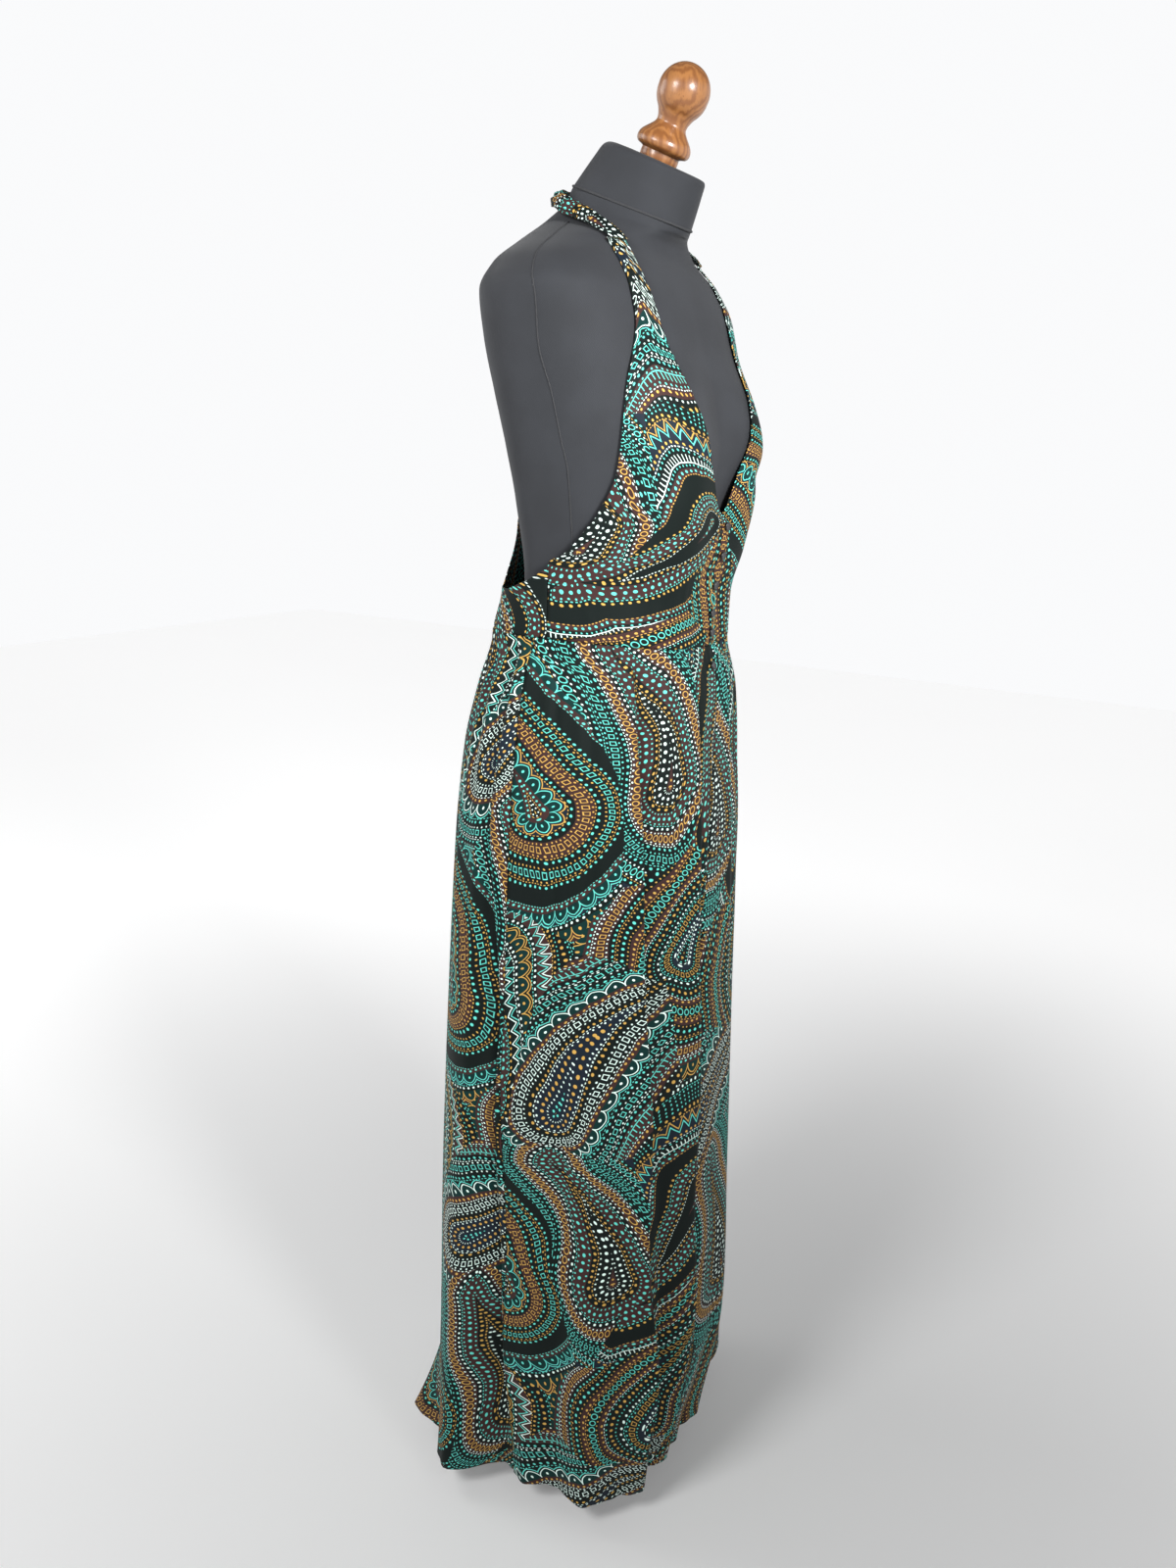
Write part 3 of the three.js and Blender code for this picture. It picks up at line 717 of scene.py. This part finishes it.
class Graph:
    """Builds the nodes of one material."""

    def __init__(self, name):
        self.material = bpy.data.materials.new(name)
        self.material.use_nodes = True
        self.nodes = self.material.node_tree.nodes
        self.links = self.material.node_tree.links
        self.nodes.clear()
        self.shader = self.nodes.new("ShaderNodeBsdfPrincipled")
        output = self.nodes.new("ShaderNodeOutputMaterial")
        self.links.new(self.shader.outputs["BSDF"], output.inputs["Surface"])

    def put(self, socket, value):
        """Links a Number to a socket, or sets the socket to a plain value."""
        if isinstance(value, Number):
            self.links.new(value.socket, socket)
        elif socket.type == "RGBA":
            socket.default_value = (*value[:3], 1.0)
        else:
            socket.default_value = value

    def node(self, kind, inputs, output=0, **settings):
        """One output of a new node with these inputs and settings."""
        node = self.nodes.new("ShaderNode" + kind)
        for name, value in settings.items():
            setattr(node, name, value)
        for socket, value in inputs.items():
            self.put(node.inputs[socket], value)
        return Number(self, node.outputs[output])

    def math(self, operation, *values):
        return self.node("Math", dict(enumerate(values)), operation=operation)

    def vector(self, operation, *values, scale=None):
        inputs = dict(enumerate(values))
        if scale is not None:
            inputs["Scale"] = scale
        output = "Value" if operation in ("LENGTH", "DOT_PRODUCT") else "Vector"
        return self.node("VectorMath", inputs, output, operation=operation)

    def combine(self, x, y, z=0.0):
        return self.node("CombineXYZ", dict(X=x, Y=y, Z=z))

    def separate(self, vector):
        outputs = self.node("SeparateXYZ", {0: vector}).socket.node.outputs
        return [Number(self, output) for output in outputs]

    def random(self, vector):
        """Three random values that depend on the vector alone."""
        colour = self.node("TexWhiteNoise", dict(Vector=vector), "Color", noise_dimensions="3D")
        return self.separate(colour)

    def noise(self, vector, scale, detail=2.0, colour=False):
        inputs = dict(Vector=vector, Scale=scale, Detail=detail)
        return self.node("TexNoise", inputs, "Color" if colour else "Fac")

    def blend(self, factor, a, b, kind="RGBA"):
        first, second, output = dict(VECTOR=(4, 5, 1), RGBA=(6, 7, 2))[kind]
        return self.node("Mix", {0: factor, first: a, second: b}, output, data_type=kind)

    def ramp(self, value, low, high, to_low=0.0, to_high=1.0):
        names = ("Value", "From Min", "From Max", "To Min", "To Max")
        inputs = dict(zip(names, (value, low, high, to_low, to_high)))
        return self.node("MapRange", inputs, interpolation_type="SMOOTHSTEP")

    def line(self, distance, half_width):
        """1 on a drawn line and 0 beside it."""
        return self.ramp(distance, half_width - LINE_EDGE, half_width + LINE_EDGE, 1.0, 0.0)

    def place_on_object(self):
        return self.node("TexCoord", {}, "Object")

    def bump(self, height, distance, strength):
        inputs = dict(Distance=distance, Strength=strength, Height=height)
        self.put(self.shader.inputs["Normal"], self.node("Bump", inputs))

    def surface(self, **values):
        for name, value in values.items():
            self.put(self.shader.inputs[name.replace("_", " ")], value)
        return self.material


# The print: paisley drops with rings of small drawn motifs, in millimetres of flat cloth

TURQUOISE = (0.125, 0.64, 0.55)
MINT = (0.76, 0.94, 0.87)
OCHRE = (0.56, 0.335, 0.078)
BROWN = (0.040, 0.018, 0.017)
NAVY = (0.008, 0.014, 0.023)
GROUND = (0.0035, 0.0070, 0.0062)
GREEN = (0.002, 0.024, 0.022)

PRINT_SIZE = 1.18  # how much larger the print is than the measures below
REPEAT = (330.0, 470.0, 1.0)
BAND = 12.6  # width of a ring's wide band; a row of dots fills the rest of the ring
MEAN_PITCH = 18.6
STYLES = 7.8  # seven kinds of motif, and now and then a plain band
LINE_EDGE = 0.22  # softness of a drawn line
DRIFT = 60.0
SHAKE = 1.8
# Head centre, direction of the tip, head radius, length, bend and ring pitch of each drop, and
# how far it comes first where two drops meet.
DROPS = (
    dict(x=70, y=90, turn=-12, head=32, length=190, bend=0.0011, pitch=19.0, first=0),
    dict(x=235, y=215, turn=24, head=29, length=150, bend=-0.0016, pitch=18.6, first=4),
    dict(x=120, y=330, turn=160, head=24, length=120, bend=0.0020, pitch=18.0, first=2),
    dict(x=275, y=430, turn=-35, head=24, length=170, bend=0.0014, pitch=18.6, first=0),
    dict(x=20, y=250, turn=8, head=21, length=130, bend=-0.0018, pitch=18.0, first=6),
    dict(x=195, y=55, turn=205, head=18, length=90, bend=0.0026, pitch=17.6, first=3),
)


def drop(g, p, row, number):
    """Distance from one drop's outline, angle round its head, way along its side."""
    half = (REPEAT[0] / 2, REPEAT[1] / 2, 0.0)
    away = g.vector("SUBTRACT", p, (row["x"], row["y"], 0.0))
    cell = g.vector("SNAP", g.vector("ADD", away, half), REPEAT)
    chance, chance_bend, _ = g.random(g.vector("ADD", cell, (0.0, 0.0, number + 0.5)))
    angle = (chance - 0.5) * 0.7 + math.radians(-row["turn"])
    turned = dict(Vector=g.vector("SUBTRACT", away, cell), Angle=angle)
    a, b, _ = g.separate(g.node("VectorRotate", turned, rotation_type="Z_AXIS"))
    up = b.max(0.0).min(float(row["length"]))
    a = abs(a - up * up * ((chance_bend * 0.8 + 0.6) * row["bend"]))
    lean = row["head"] / row["length"]
    upright = math.sqrt(1 - lean * lean)
    q = g.combine(a, b)
    along = g.vector("DOT_PRODUCT", q, (-lean, upright, 0.0)).max(0.0)
    along = along.min(upright * row["length"])
    foot = g.vector("SCALE", (-lean, upright, 0.0), scale=along)
    spoke = g.vector("SUBTRACT", q, foot)
    distance = g.vector("LENGTH", spoke) - row["head"]
    across, rise, _ = g.separate(spoke)
    angle = g.math("ARCTAN2", across, rise * -1.0)
    return g.combine(distance, angle, along), distance


def nearest_drop(g, p):
    found, best = drop(g, p, DROPS[0], 0)
    fixed = (DROPS[0]["head"], 0.0, DROPS[0]["pitch"])
    best = best - DROPS[0]["first"]
    for number, row in enumerate(DROPS[1:], 1):
        other, distance = drop(g, p, row, number)
        distance = distance - row["first"]
        closer = distance < best
        found = g.blend(closer, found, other, "VECTOR")
        fixed = g.blend(closer, fixed, (row["head"], float(number), row["pitch"]), "VECTOR")
        best = best.min(distance)
    return found, fixed


def band_motifs(g, s, y, style):
    """Line masks of a wide band: first and second colour, and the ground under petals.

    Here s runs along the band and y across it, from its middle.
    """
    x15 = s.cell(15.0)
    x11 = s.cell(11.0)
    x6 = s.cell(6.6)
    x4 = s.cell(4.8)
    x3 = s.cell(3.9)
    arch = g.vector("LENGTH", g.combine(abs(x15) + 2.3, y + BAND * 0.46))
    inside = arch < 9.4
    seed = g.vector("LENGTH", g.combine(x15 * 1.3, y + BAND * 0.2))
    petals = g.line(abs(arch - 9.8), 0.42).max(g.line(seed, 1.4))
    zigzag = (y - abs(x11) * 1.5 + 5.6) * 0.55
    loops = abs(g.vector("LENGTH", g.combine(x6, y * 0.8)) - 2.3)
    boxes = abs((abs(x6) * 1.25).max(abs(y)) - 2.2)
    comb = g.line(abs(x3), 0.38) * g.line(abs(y), 2.2)
    bars = g.line(abs(y + 2.7), 0.36)
    dots = g.line(g.vector("LENGTH", g.combine(x4, abs(y) - BAND * 0.37)), 0.74)
    inner_dots = g.line(g.vector("LENGTH", g.combine(x4, abs(y) - BAND * 0.12)), 0.66)
    beads = g.line(g.vector("LENGTH", g.combine(x6, y)), 1.45)
    on = [g.math("COMPARE", style, float(number), 0.5) for number in range(7)]
    first = (
        on[0] * petals
        + on[1] * g.line(abs(zigzag), 0.42)
        + on[2] * g.line(loops, 0.36)
        + on[3] * g.line(boxes, 0.36)
        + on[4] * comb.max(bars)
        + on[5] * dots.max(inner_dots)
        + on[6] * beads
    )
    second = (
        on[0] * g.line(abs(arch - 12.1), 0.38)
        + on[1] * g.line(abs(zigzag - 2.3), 0.38)
        + (on[2] + on[3] + on[4] + on[6]) * dots
    )
    return first, second, on[0] * inside


def line_colour(g, chance):
    colour = g.blend(chance > 0.44, TURQUOISE, MINT)
    return g.blend(chance > 0.72, colour, OCHRE)


def ground_colour(g, chance):
    colour = g.blend(chance > 0.58, GROUND, BROWN)
    return g.blend(chance > 0.86, colour, NAVY)


def wander(g, p, scale, detail, reach):
    """A soft random shift, by up to half the reach each way."""
    found = g.noise(p, scale, detail=detail, colour=True)
    return g.vector("SCALE", g.vector("SUBTRACT", found, (0.5, 0.5, 0.5)), scale=reach)


def print_colour(g, p):
    """Colour of the print at p, a point of the flat cloth in millimetres."""
    drift = wander(g, p, 0.0075, 1.0, DRIFT)
    shake = wander(g, p, 0.09, 0.0, SHAKE)
    p = g.vector("ADD", g.vector("ADD", p, drift), shake)
    p = g.vector("MULTIPLY", p, (1.0, 1.0, 0.0))
    found, fixed = nearest_drop(g, p)
    distance, angle, along = g.separate(found)
    head, number, pitch = g.separate(fixed)
    ring = (distance / pitch).floor()
    depth = distance - ring * pitch
    radius = (head + (ring + 0.5) * pitch).max(3.0)
    s = angle * radius + along
    chances = g.random(g.combine(ring, number, 7.5))
    more = g.random(g.combine(ring, number, 3.5))
    style = (chances[0] * STYLES).floor()
    in_wide = depth < BAND
    first, second, under = band_motifs(g, s, depth - BAND / 2, style)
    narrow = depth - (BAND + MEAN_PITCH) / 2
    dots = g.line(g.vector("LENGTH", g.combine(s.cell(5.2), narrow)), 1.05)
    borders = g.line(abs(depth - BAND - 0.4), 0.36)
    ground = g.blend(in_wide, ground_colour(g, more[2]), ground_colour(g, chances[2]))
    ground = g.blend(under * in_wide, ground, GREEN)
    colour = g.blend(second * in_wide, ground, line_colour(g, (more[0] + 0.37).cell(1.0) + 0.5))
    colour = g.blend(first * in_wide, colour, line_colour(g, chances[1]))
    colour = g.blend(dots * (1.0 - in_wide), colour, line_colour(g, more[1]))
    dotted = g.line(abs(s.cell(3.1)), 0.75)
    return g.blend(borders * dotted, colour, line_colour(g, more[0]))


def print_material(name):
    g = Graph(name)
    p = g.vector("SCALE", g.node("UVMap", {}, uv_map="cloth"), scale=1000.0)
    colour = print_colour(g, g.vector("SCALE", p, scale=1 / PRINT_SIZE))
    fine = g.noise(p, 1.3, detail=1.0)
    g.bump(fine, 0.0003, 0.25)
    return g.surface(Base_Color=colour, Roughness=0.65, Specular_IOR_Level=0.12)


def jersey_material():
    g = Graph("jersey")
    p = g.vector("SCALE", g.place_on_object(), scale=1000.0)
    x, y, z = g.separate(p)
    wale = g.math("SINE", g.math("ARCTAN2", x, y) * 520.0)
    course = g.math("SINE", z * 5.2)
    knit = wale * course * 0.3 + g.noise(p, 0.9, detail=2.0)
    cloudy = g.noise(p, 0.02, detail=3.0)
    colour = g.blend(g.ramp(cloudy, 0.3, 0.7), (0.0135, 0.0150, 0.0185), (0.0180, 0.0200, 0.0245))
    g.bump(knit, 0.0003, 0.35)
    return g.surface(Base_Color=colour, Roughness=0.85, Sheen_Weight=0.06, Sheen_Roughness=0.4)


def wood_material():
    g = Graph("turned_wood")
    p = g.vector("SCALE", g.place_on_object(), scale=1000.0)
    stretched = g.vector("MULTIPLY", p, (1.0, 1.0, 0.12))
    drift = g.noise(stretched, 0.06, detail=3.0)
    x, y, z = g.separate(stretched)
    rings = g.math("SINE", x * 0.9 + y * 0.35 + drift * 26.0)
    pores = g.noise(g.vector("MULTIPLY", p, (1.0, 1.0, 0.06)), 0.9, detail=3.0)
    colour = g.blend(g.ramp(rings, -1.0, 1.0), (0.27, 0.113, 0.033), (0.18, 0.066, 0.018))
    colour = g.blend(g.ramp(pores, 0.56, 0.75) * 0.7, colour, (0.11, 0.036, 0.010))
    g.bump(pores, 0.0003, 0.12)
    return g.surface(Base_Color=colour, Roughness=0.36, Coat_Weight=0.3, Coat_Roughness=0.15)


def plain_material(name, low, high, roughness, scale, metallic=0.0):
    g = Graph(name)
    p = g.vector("SCALE", g.place_on_object(), scale=1000.0)
    speckle = g.noise(p, scale, detail=3.0)
    colour = g.blend(g.ramp(speckle, 0.3, 0.7), low, high)
    g.bump(speckle, 0.0002, 0.1)
    return g.surface(Base_Color=colour, Roughness=roughness, Metallic=metallic)


PRINT = print_material("printed_crepe")
JERSEY = jersey_material()
WOOD = wood_material()
BUTTON = plain_material("button_dark", (0.012, 0.013, 0.014), (0.024, 0.025, 0.027), 0.3, 0.8)
STEEL = plain_material("black_steel", (0.016, 0.016, 0.018), (0.03, 0.03, 0.033), 0.4, 0.3, 0.6)
SEAM = plain_material("seam_dark", (0.018, 0.019, 0.021), (0.030, 0.031, 0.034), 0.85, 0.9)

# Dress


def half_gap(r):
    return math.degrees(SEAM_GAP / 2 / r)


def printed(obj):
    """Gives a piece of cloth the print and the place of the node of its name."""
    return finish_piece(obj, PRINT, "print", obj.name.replace("cloth_", ""))


def bodice_front(name, side, spin, shift):
    right = side < 0

    def inside(u, v):
        level = mix(WAIST_SIDE - WAIST_DIP / 2, PANEL_TOP, v)
        free = LAP_EDGE if right else UNDERLAP_EDGE
        opened = smooth((level - NECK_V + 12) / 24)
        inner = mix(free, side * neck_edge(level), opened)
        outer = side * (armhole_edge(level) - half_gap(140))
        angle = mix(outer, inner, u) if right else mix(inner, outer, u)
        seam = waist_height(angle) + SEAM_GAP / 2 - WAIST_SIDE + WAIST_DIP / 2
        z = level + seam * (1 - v) ** 2
        lift = lap_lift(angle, z) if right else 0
        return polar(angle, bodice_surface(angle, z) + lift, z)

    obj = cloth(name, inside, 64, 150, spin, shift, sewn_sides=(0, 0), sewn_ends=(1, 0))
    printed(obj)


def bodice_back():
    edge = SIDE_SEAM + half_gap(140)

    def inside(u, v):
        angle = mix(edge - 360, -edge, u)
        z = mix(waist_height(angle) + SEAM_GAP / 2, back_edge(angle), v)
        return polar(angle, bodice_surface(angle, z), z)

    obj = cloth("cloth_bodice_back", inside, 150, 28, 4, (300, 900), (1, 1), (1, 0))
    printed(obj)


def skirt_panel(name, start, end, across, spin, shift):
    rows = 250

    def inside(u, v):
        level = mix(HEM, WAIST_SIDE, 1 - (1 - v) ** 1.15)
        gap = half_gap(150)
        angle = mix(start(level) + gap, end(level) - gap, u)
        seam = waist_height(angle) - SEAM_GAP / 2 - WAIST_SIDE
        z = level + seam * v**6
        return polar(angle + pleat_turn(angle, z), skirt_surface(angle, z), z)

    obj = cloth(name, inside, across, rows, spin, shift)
    printed(obj)


def strap_place(share):
    """Angle and section of the strap's middle line, at a share of its run."""
    first = STRAP["angle"][0]
    angle = mix(first, 360 - first, share)
    return angle, strap_section(np.where(angle > 180, 360 - angle, angle))


def from_end(share):
    """Share of the strap's run from its nearer end."""
    return 0.5 - abs(share - 0.5)


def strap_directions(share):
    """Directions across the strap and away from the form."""
    path = unit(form_point(*strap_place(share + 1e-3)) - form_point(*strap_place(share - 1e-3)))
    upright = np.zeros_like(path)
    upright[..., 2] = np.where(share < 0.5, 1, -1)
    along = unit(mix(upright, path, smooth(from_end(share) / STRAP_TURN)[..., None]))
    angle, section = strap_place(share)
    round_ = form_point(angle + 1, section) - form_point(angle - 1, section)
    rise = form_point(angle, section + 1) - form_point(angle, section - 1)
    away = unit(np.cross(round_, rise))
    away = unit(away - along * (away * along).sum(-1, keepdims=True))
    return unit(np.cross(away, along)), away


def strap_rings(share, turn):
    """The strap's outline, flat where it meets the fronts and rolled at the nape."""
    across, away = strap_directions(share)
    roll = smooth(from_end(share) / STRAP_ROLL)
    width = mix(*STRAP_WIDTH, roll) / 2
    thickness = mix(*STRAP_THICKNESS, roll) / 2
    fold = sum(size * cos_deg(waves * turn + run * share) for size, waves, run in STRAP_FOLDS)
    twist = 1 + (0.35 + 0.65 * roll) * fold
    rings = form_point(*strap_place(share)) + away * (thickness * 1.1 + STRAP_GAP)[..., None]
    rings = rings + across * (width * twist * cos_deg(turn))[..., None]
    return rings + away * (thickness * twist * sin_deg(turn))[..., None]


def neck_strap():
    """The gathered strap, from the left front round the nape to the right front."""
    share = np.linspace(0, 1, 181)[:, None]
    turn = np.linspace(0, 360, 40, endpoint=False)[None, :]
    rings = strap_rings(share, turn)
    run = lengths(rings[:, :1], 0)
    uvs = np.stack(np.broadcast_arrays(turn / 360 * STRAP_GIRTH, run), -1) * MM
    obj = stack("cloth_neck_strap", rings, uvs.reshape(-1, 2))
    printed(obj)


def front_cloth(angle, z):
    angle = np.asarray(angle, float)
    z = np.asarray(z, float)
    bodice = z > waist_height(angle)
    radius = np.where(bodice, bodice_radius(angle, z) + lap_lift(angle, z), skirt_surface(angle, z))
    return polar(angle, radius, z)


def button(index, height):
    """A small shanked button with a raised rim and a dished face."""
    rim = BUTTON_RADIUS
    thick = BUTTON_THICKNESS
    profile = [
        (0, -1.2), (rim * 0.3, -1.2), (rim * 0.32, 0), (rim * 0.7, 0.05), (rim * 0.94, thick * 0.25),
        (rim, thick * 0.5), (rim * 0.96, thick * 0.8), (rim * 0.86, thick * 0.98),
        (rim * 0.74, thick), (rim * 0.6, thick * 0.86), (rim * 0.3, thick * 0.78),
        (0, thick * 0.76),
    ]
    obj = lathe(f"button_face_{index + 1}", profile, 28)
    round_ = front_cloth(BUTTON_ANGLE + 1, height) - front_cloth(BUTTON_ANGLE - 1, height)
    rise = front_cloth(BUTTON_ANGLE, height + 2) - front_cloth(BUTTON_ANGLE, height - 2)
    normal = Vector(np.cross(round_, rise)).normalized()
    lift = CLOTH + SEAM_GAP + BUTTON_LIFT
    at = Vector(front_cloth(BUTTON_ANGLE, height)) * MM + normal * lift * MM
    turned = Vector((0, 0, 1)).rotation_difference(normal).to_matrix().to_4x4()
    place(obj, Matrix.Translation(at) @ turned)
    finish_piece(obj, BUTTON, "button", f"button_{index + 1}")


# Form and stand


def torso():
    rows = 150
    share = 1 - (1 - np.linspace(0, 1, rows + 1)[:, None]) ** 1.25
    angle = np.linspace(0, 360, 160, endpoint=False)[None, :]
    section = mix(FORM_BOTTOM, COLLAR_SEAM, share)
    obj = soften(stack("form_cover", form_point(angle, section)), 60)
    finish_piece(obj, JERSEY, "jersey", "form_torso")


def form_seam(name, rows, mirror):
    """A raised seam of the form's cover."""
    line = curve(rows, "z", "angle")
    z = np.linspace(rows["z"][0], rows["z"][-1], 120)
    path = form_point(mirror * line(z), z, 0.05)
    finish_piece(tube(name, path, SEAM_RADIUS), SEAM, "jersey")


def tipped():
    """The move from the upright to the leaning collar seam."""
    lean = math.radians(NECK_LEAN)
    centre = Vector((0, NECK_CENTRE, COLLAR_SEAM + NECK_CENTRE * math.tan(lean)))
    return Matrix.Translation(centre * MM) @ Matrix.Rotation(lean, 4, "X")


def neck():
    tilt = math.tan(math.radians(FINIAL_LEAN))
    h = np.concatenate([np.linspace(0, 38, 20), np.linspace(39, NECK_HEIGHT, 25)])[:, None]
    scale = curve(CAP, "h", "scale")(h)
    crown = curve(CAP, "h", "crown")(h)
    angle = np.linspace(0, 360, 120, endpoint=False)
    seam = form_point(angle, np.full_like(angle, COLLAR_SEAM))
    depth = (seam[:, 1] - NECK_CENTRE) / math.cos(math.radians(NECK_LEAN))
    y = depth * scale - NECK_FORWARD * h / NECK_HEIGHT
    rise = h + SEAM_GAP + crown * tilt * (y + FINIAL_FORWARD)
    rings = np.stack([seam[:, 0] * scale, y, rise], -1)
    obj = place(soften(stack("form_neck_cover", rings), 60), tipped())
    finish_piece(obj, JERSEY, "jersey", "form_neck")
    ring = np.stack([seam[:, 0], depth, np.zeros_like(angle)], -1)
    ring[:, :2] *= 1.004
    piping = place(tube("collar_piping", ring, PIPING_RADIUS, closed=True), tipped())
    finish_piece(piping, SEAM, "jersey")


def finial():
    index = np.arange(float(len(FINIAL["r"])))
    radius = curve(dict(i=index, r=FINIAL["r"]), "i", "r")
    height = curve(dict(i=index, h=FINIAL["h"]), "i", "h")
    t = np.linspace(0, index[-1], 115)
    profile = [(0, 0)] + list(zip(radius(t), height(t)))
    r, centre = FINIAL_BALL["r"], FINIAL_BALL["centre"]
    for turn in np.linspace(math.pi / 2, 0, 26)[1:]:
        profile.append((r * math.sin(turn), centre + r * math.cos(turn)))
    profile[-1] = (0, profile[-1][1])
    obj = soften(lathe("finial_wood", profile, 72), 50)
    seat = Matrix.Translation(Vector((0, -FINIAL_FORWARD, NECK_HEIGHT + 2 * SEAM_GAP)) * MM)
    place(obj, tipped() @ seat @ Matrix.Rotation(math.radians(FINIAL_LEAN), 4, "X"))
    finish_piece(obj, WOOD, "wood", "finial")


def stand():
    base = [
        (0, 0), (BASE_RADIUS - 1.5, 0), (BASE_RADIUS, 1.5), (BASE_RADIUS, 6),
        (BASE_RADIUS - 2, 8), (BASE_RADIUS - 6, 9), (60, 12.6), (34, 14.6), (30, 15.4),
        (27, 18), (25, 21), (23.5, BASE_HEIGHT), (0, BASE_HEIGHT),
    ]
    foot = soften(lathe("stand_foot", base, 96), 35)
    finish_piece(foot, STEEL, "steel", "stand_base")
    low = BASE_HEIGHT + SEAM_GAP
    top = FORM_BOTTOM - SEAM_GAP
    r = POLE_RADIUS
    slim = r - POLE_STEP
    pole = [
        (0, low), (r, low), (r, low + 2), (slim, low + 3), (slim, POLE_JOINT),
        (r, POLE_JOINT + 2), (r, top), (0, top),
    ]
    tube_pole = soften(lathe("stand_tube", pole, 48), 35)
    finish_piece(tube_pole, STEEL, "steel", "stand_pole")


torso()
neck()
finial()
stand()
for mirror, side_name in ((-1, "right"), (1, "left")):
    form_seam(f"form_side_seam_{side_name}", SIDE_SEAM_LINE, mirror)
    form_seam(f"form_back_seam_{side_name}", BACK_SEAM_LINE, mirror)
bodice_front("cloth_bodice_front_right", side=-1, spin=24, shift=(150, 250))
bodice_front("cloth_bodice_front_left", side=1, spin=-14, shift=(600, 130))
bodice_back()
skirt_panel(
    "cloth_skirt_front_right", lambda z: -SKIRT_SEAM, front_seam,
    across=84, spin=2, shift=(25, 0),
)
skirt_panel(
    "cloth_skirt_front_left", front_seam, lambda z: SKIRT_SEAM,
    across=96, spin=-4, shift=(470, 60),
)
skirt_panel(
    "cloth_skirt_back", lambda z: SKIRT_SEAM, lambda z: 360 - SKIRT_SEAM,
    across=150, spin=1, shift=(900, 200),
)
neck_strap()
for index, height in enumerate(BUTTON_HEIGHTS):
    button(index, height)

# Floor, light and camera, in metres and degrees

LIGHTS_TOWARD = (0, 0, 1.2)
LIGHTS = (
    dict(name="key", at=(-1.75, 0.25, 2.0), size=0.7, power=27, spread=180),
    dict(name="fill", at=(-0.7, -1.35, 1.7), size=0.4, power=5, spread=60),
    dict(name="back", at=(-0.5, 1.7, 2.1), size=1.0, power=9, spread=180),
)
CAMERA = dict(azimuth=-60, pitch=14.86, roll=2, distance=1.305, shift=0.011, height=1.19, lens=28)
# Strength of the studio light below and above the band of heights where it falls.
STUDIO = {"From Min": 0.31, "From Max": 0.45, "To Min": 0.97, "To Max": 0.16}
STUDIO_COLOUR = (0.985, 0.99, 1.0, 1.0)
FLOOR_HALF = 6000


def floor():
    points = [(x * FLOOR_HALF, y * FLOOR_HALF, 0) for x, y in ((-1, -1), (1, -1), (1, 1), (-1, 1))]
    obj = make_object("floor", points, [[0, 1, 2, 3]])
    g = Graph("floor_pale_painted_glow")
    p = g.place_on_object()
    colour = g.blend(g.noise(p, 1.5), (0.80, 0.80, 0.80), (0.84, 0.84, 0.84))
    # Painted light: the floor glows, faintly near the form and more strongly far off, so the far
    # floor turns white like a backdrop and the shade round the form is lightened.
    far = g.ramp(g.vector("LENGTH", p), 0.3, 2.4, 0.15, 0.69)
    white = (1.0, 1.0, 1.0)
    made = g.surface(Base_Color=colour, Roughness=0.9, Emission_Color=white, Emission_Strength=far)
    obj.data.materials.append(made)


def area_light(name, at, size, power, spread):
    data = bpy.data.lights.new(name, "AREA")
    data.shape = "DISK"
    data.size = size
    data.energy = power
    data.spread = math.radians(spread)
    obj = link_object(name, data)
    obj.location = at
    ahead = Vector(LIGHTS_TOWARD) - Vector(at)
    obj.rotation_euler = ahead.to_track_quat("-Z", "Y").to_euler()


def camera():
    """The photo's camera, on the wearer's right and a little in front."""
    azimuth, pitch, roll = (math.radians(CAMERA[name]) for name in ("azimuth", "pitch", "roll"))
    back = Vector((math.sin(azimuth), -math.cos(azimuth), 0))
    across = Vector((math.cos(azimuth), math.sin(azimuth), 0))
    at = back * CAMERA["distance"] - across * CAMERA["shift"] + Vector((0, 0, CAMERA["height"]))
    ahead = -back * math.cos(pitch) - Vector((0, 0, 1)) * math.sin(pitch)
    up = across.cross(ahead).normalized()
    right = across * math.cos(roll) + up * math.sin(roll)
    up = up * math.cos(roll) - across * math.sin(roll)
    data = bpy.data.cameras.new("camera")
    data.lens = CAMERA["lens"]
    data.sensor_width = 36
    obj = link_object("camera", data)
    turn = Matrix((right, up, -ahead)).transposed().to_4x4()
    obj.matrix_world = Matrix.Translation(at) @ turn
    bpy.context.scene.camera = obj


def world():
    """A studio that is bright low down all round and dimmer overhead."""
    made = bpy.data.worlds.new("studio")
    made.use_nodes = True
    nodes, links = made.node_tree.nodes, made.node_tree.links
    place_in_sky = nodes.new("ShaderNodeTexCoord")
    split = nodes.new("ShaderNodeSeparateXYZ")
    fall = nodes.new("ShaderNodeMapRange")
    fall.interpolation_type = "SMOOTHSTEP"
    for name, number in STUDIO.items():
        fall.inputs[name].default_value = number
    links.new(place_in_sky.outputs["Generated"], split.inputs[0])
    links.new(split.outputs["Z"], fall.inputs["Value"])
    background = nodes["Background"]
    background.inputs["Color"].default_value = STUDIO_COLOUR
    links.new(fall.outputs[0], background.inputs["Strength"])
    bpy.context.scene.world = made
    bpy.context.scene.view_settings.view_transform = "Standard"


floor()
world()
for light in LIGHTS:
    area_light(**light)
camera()
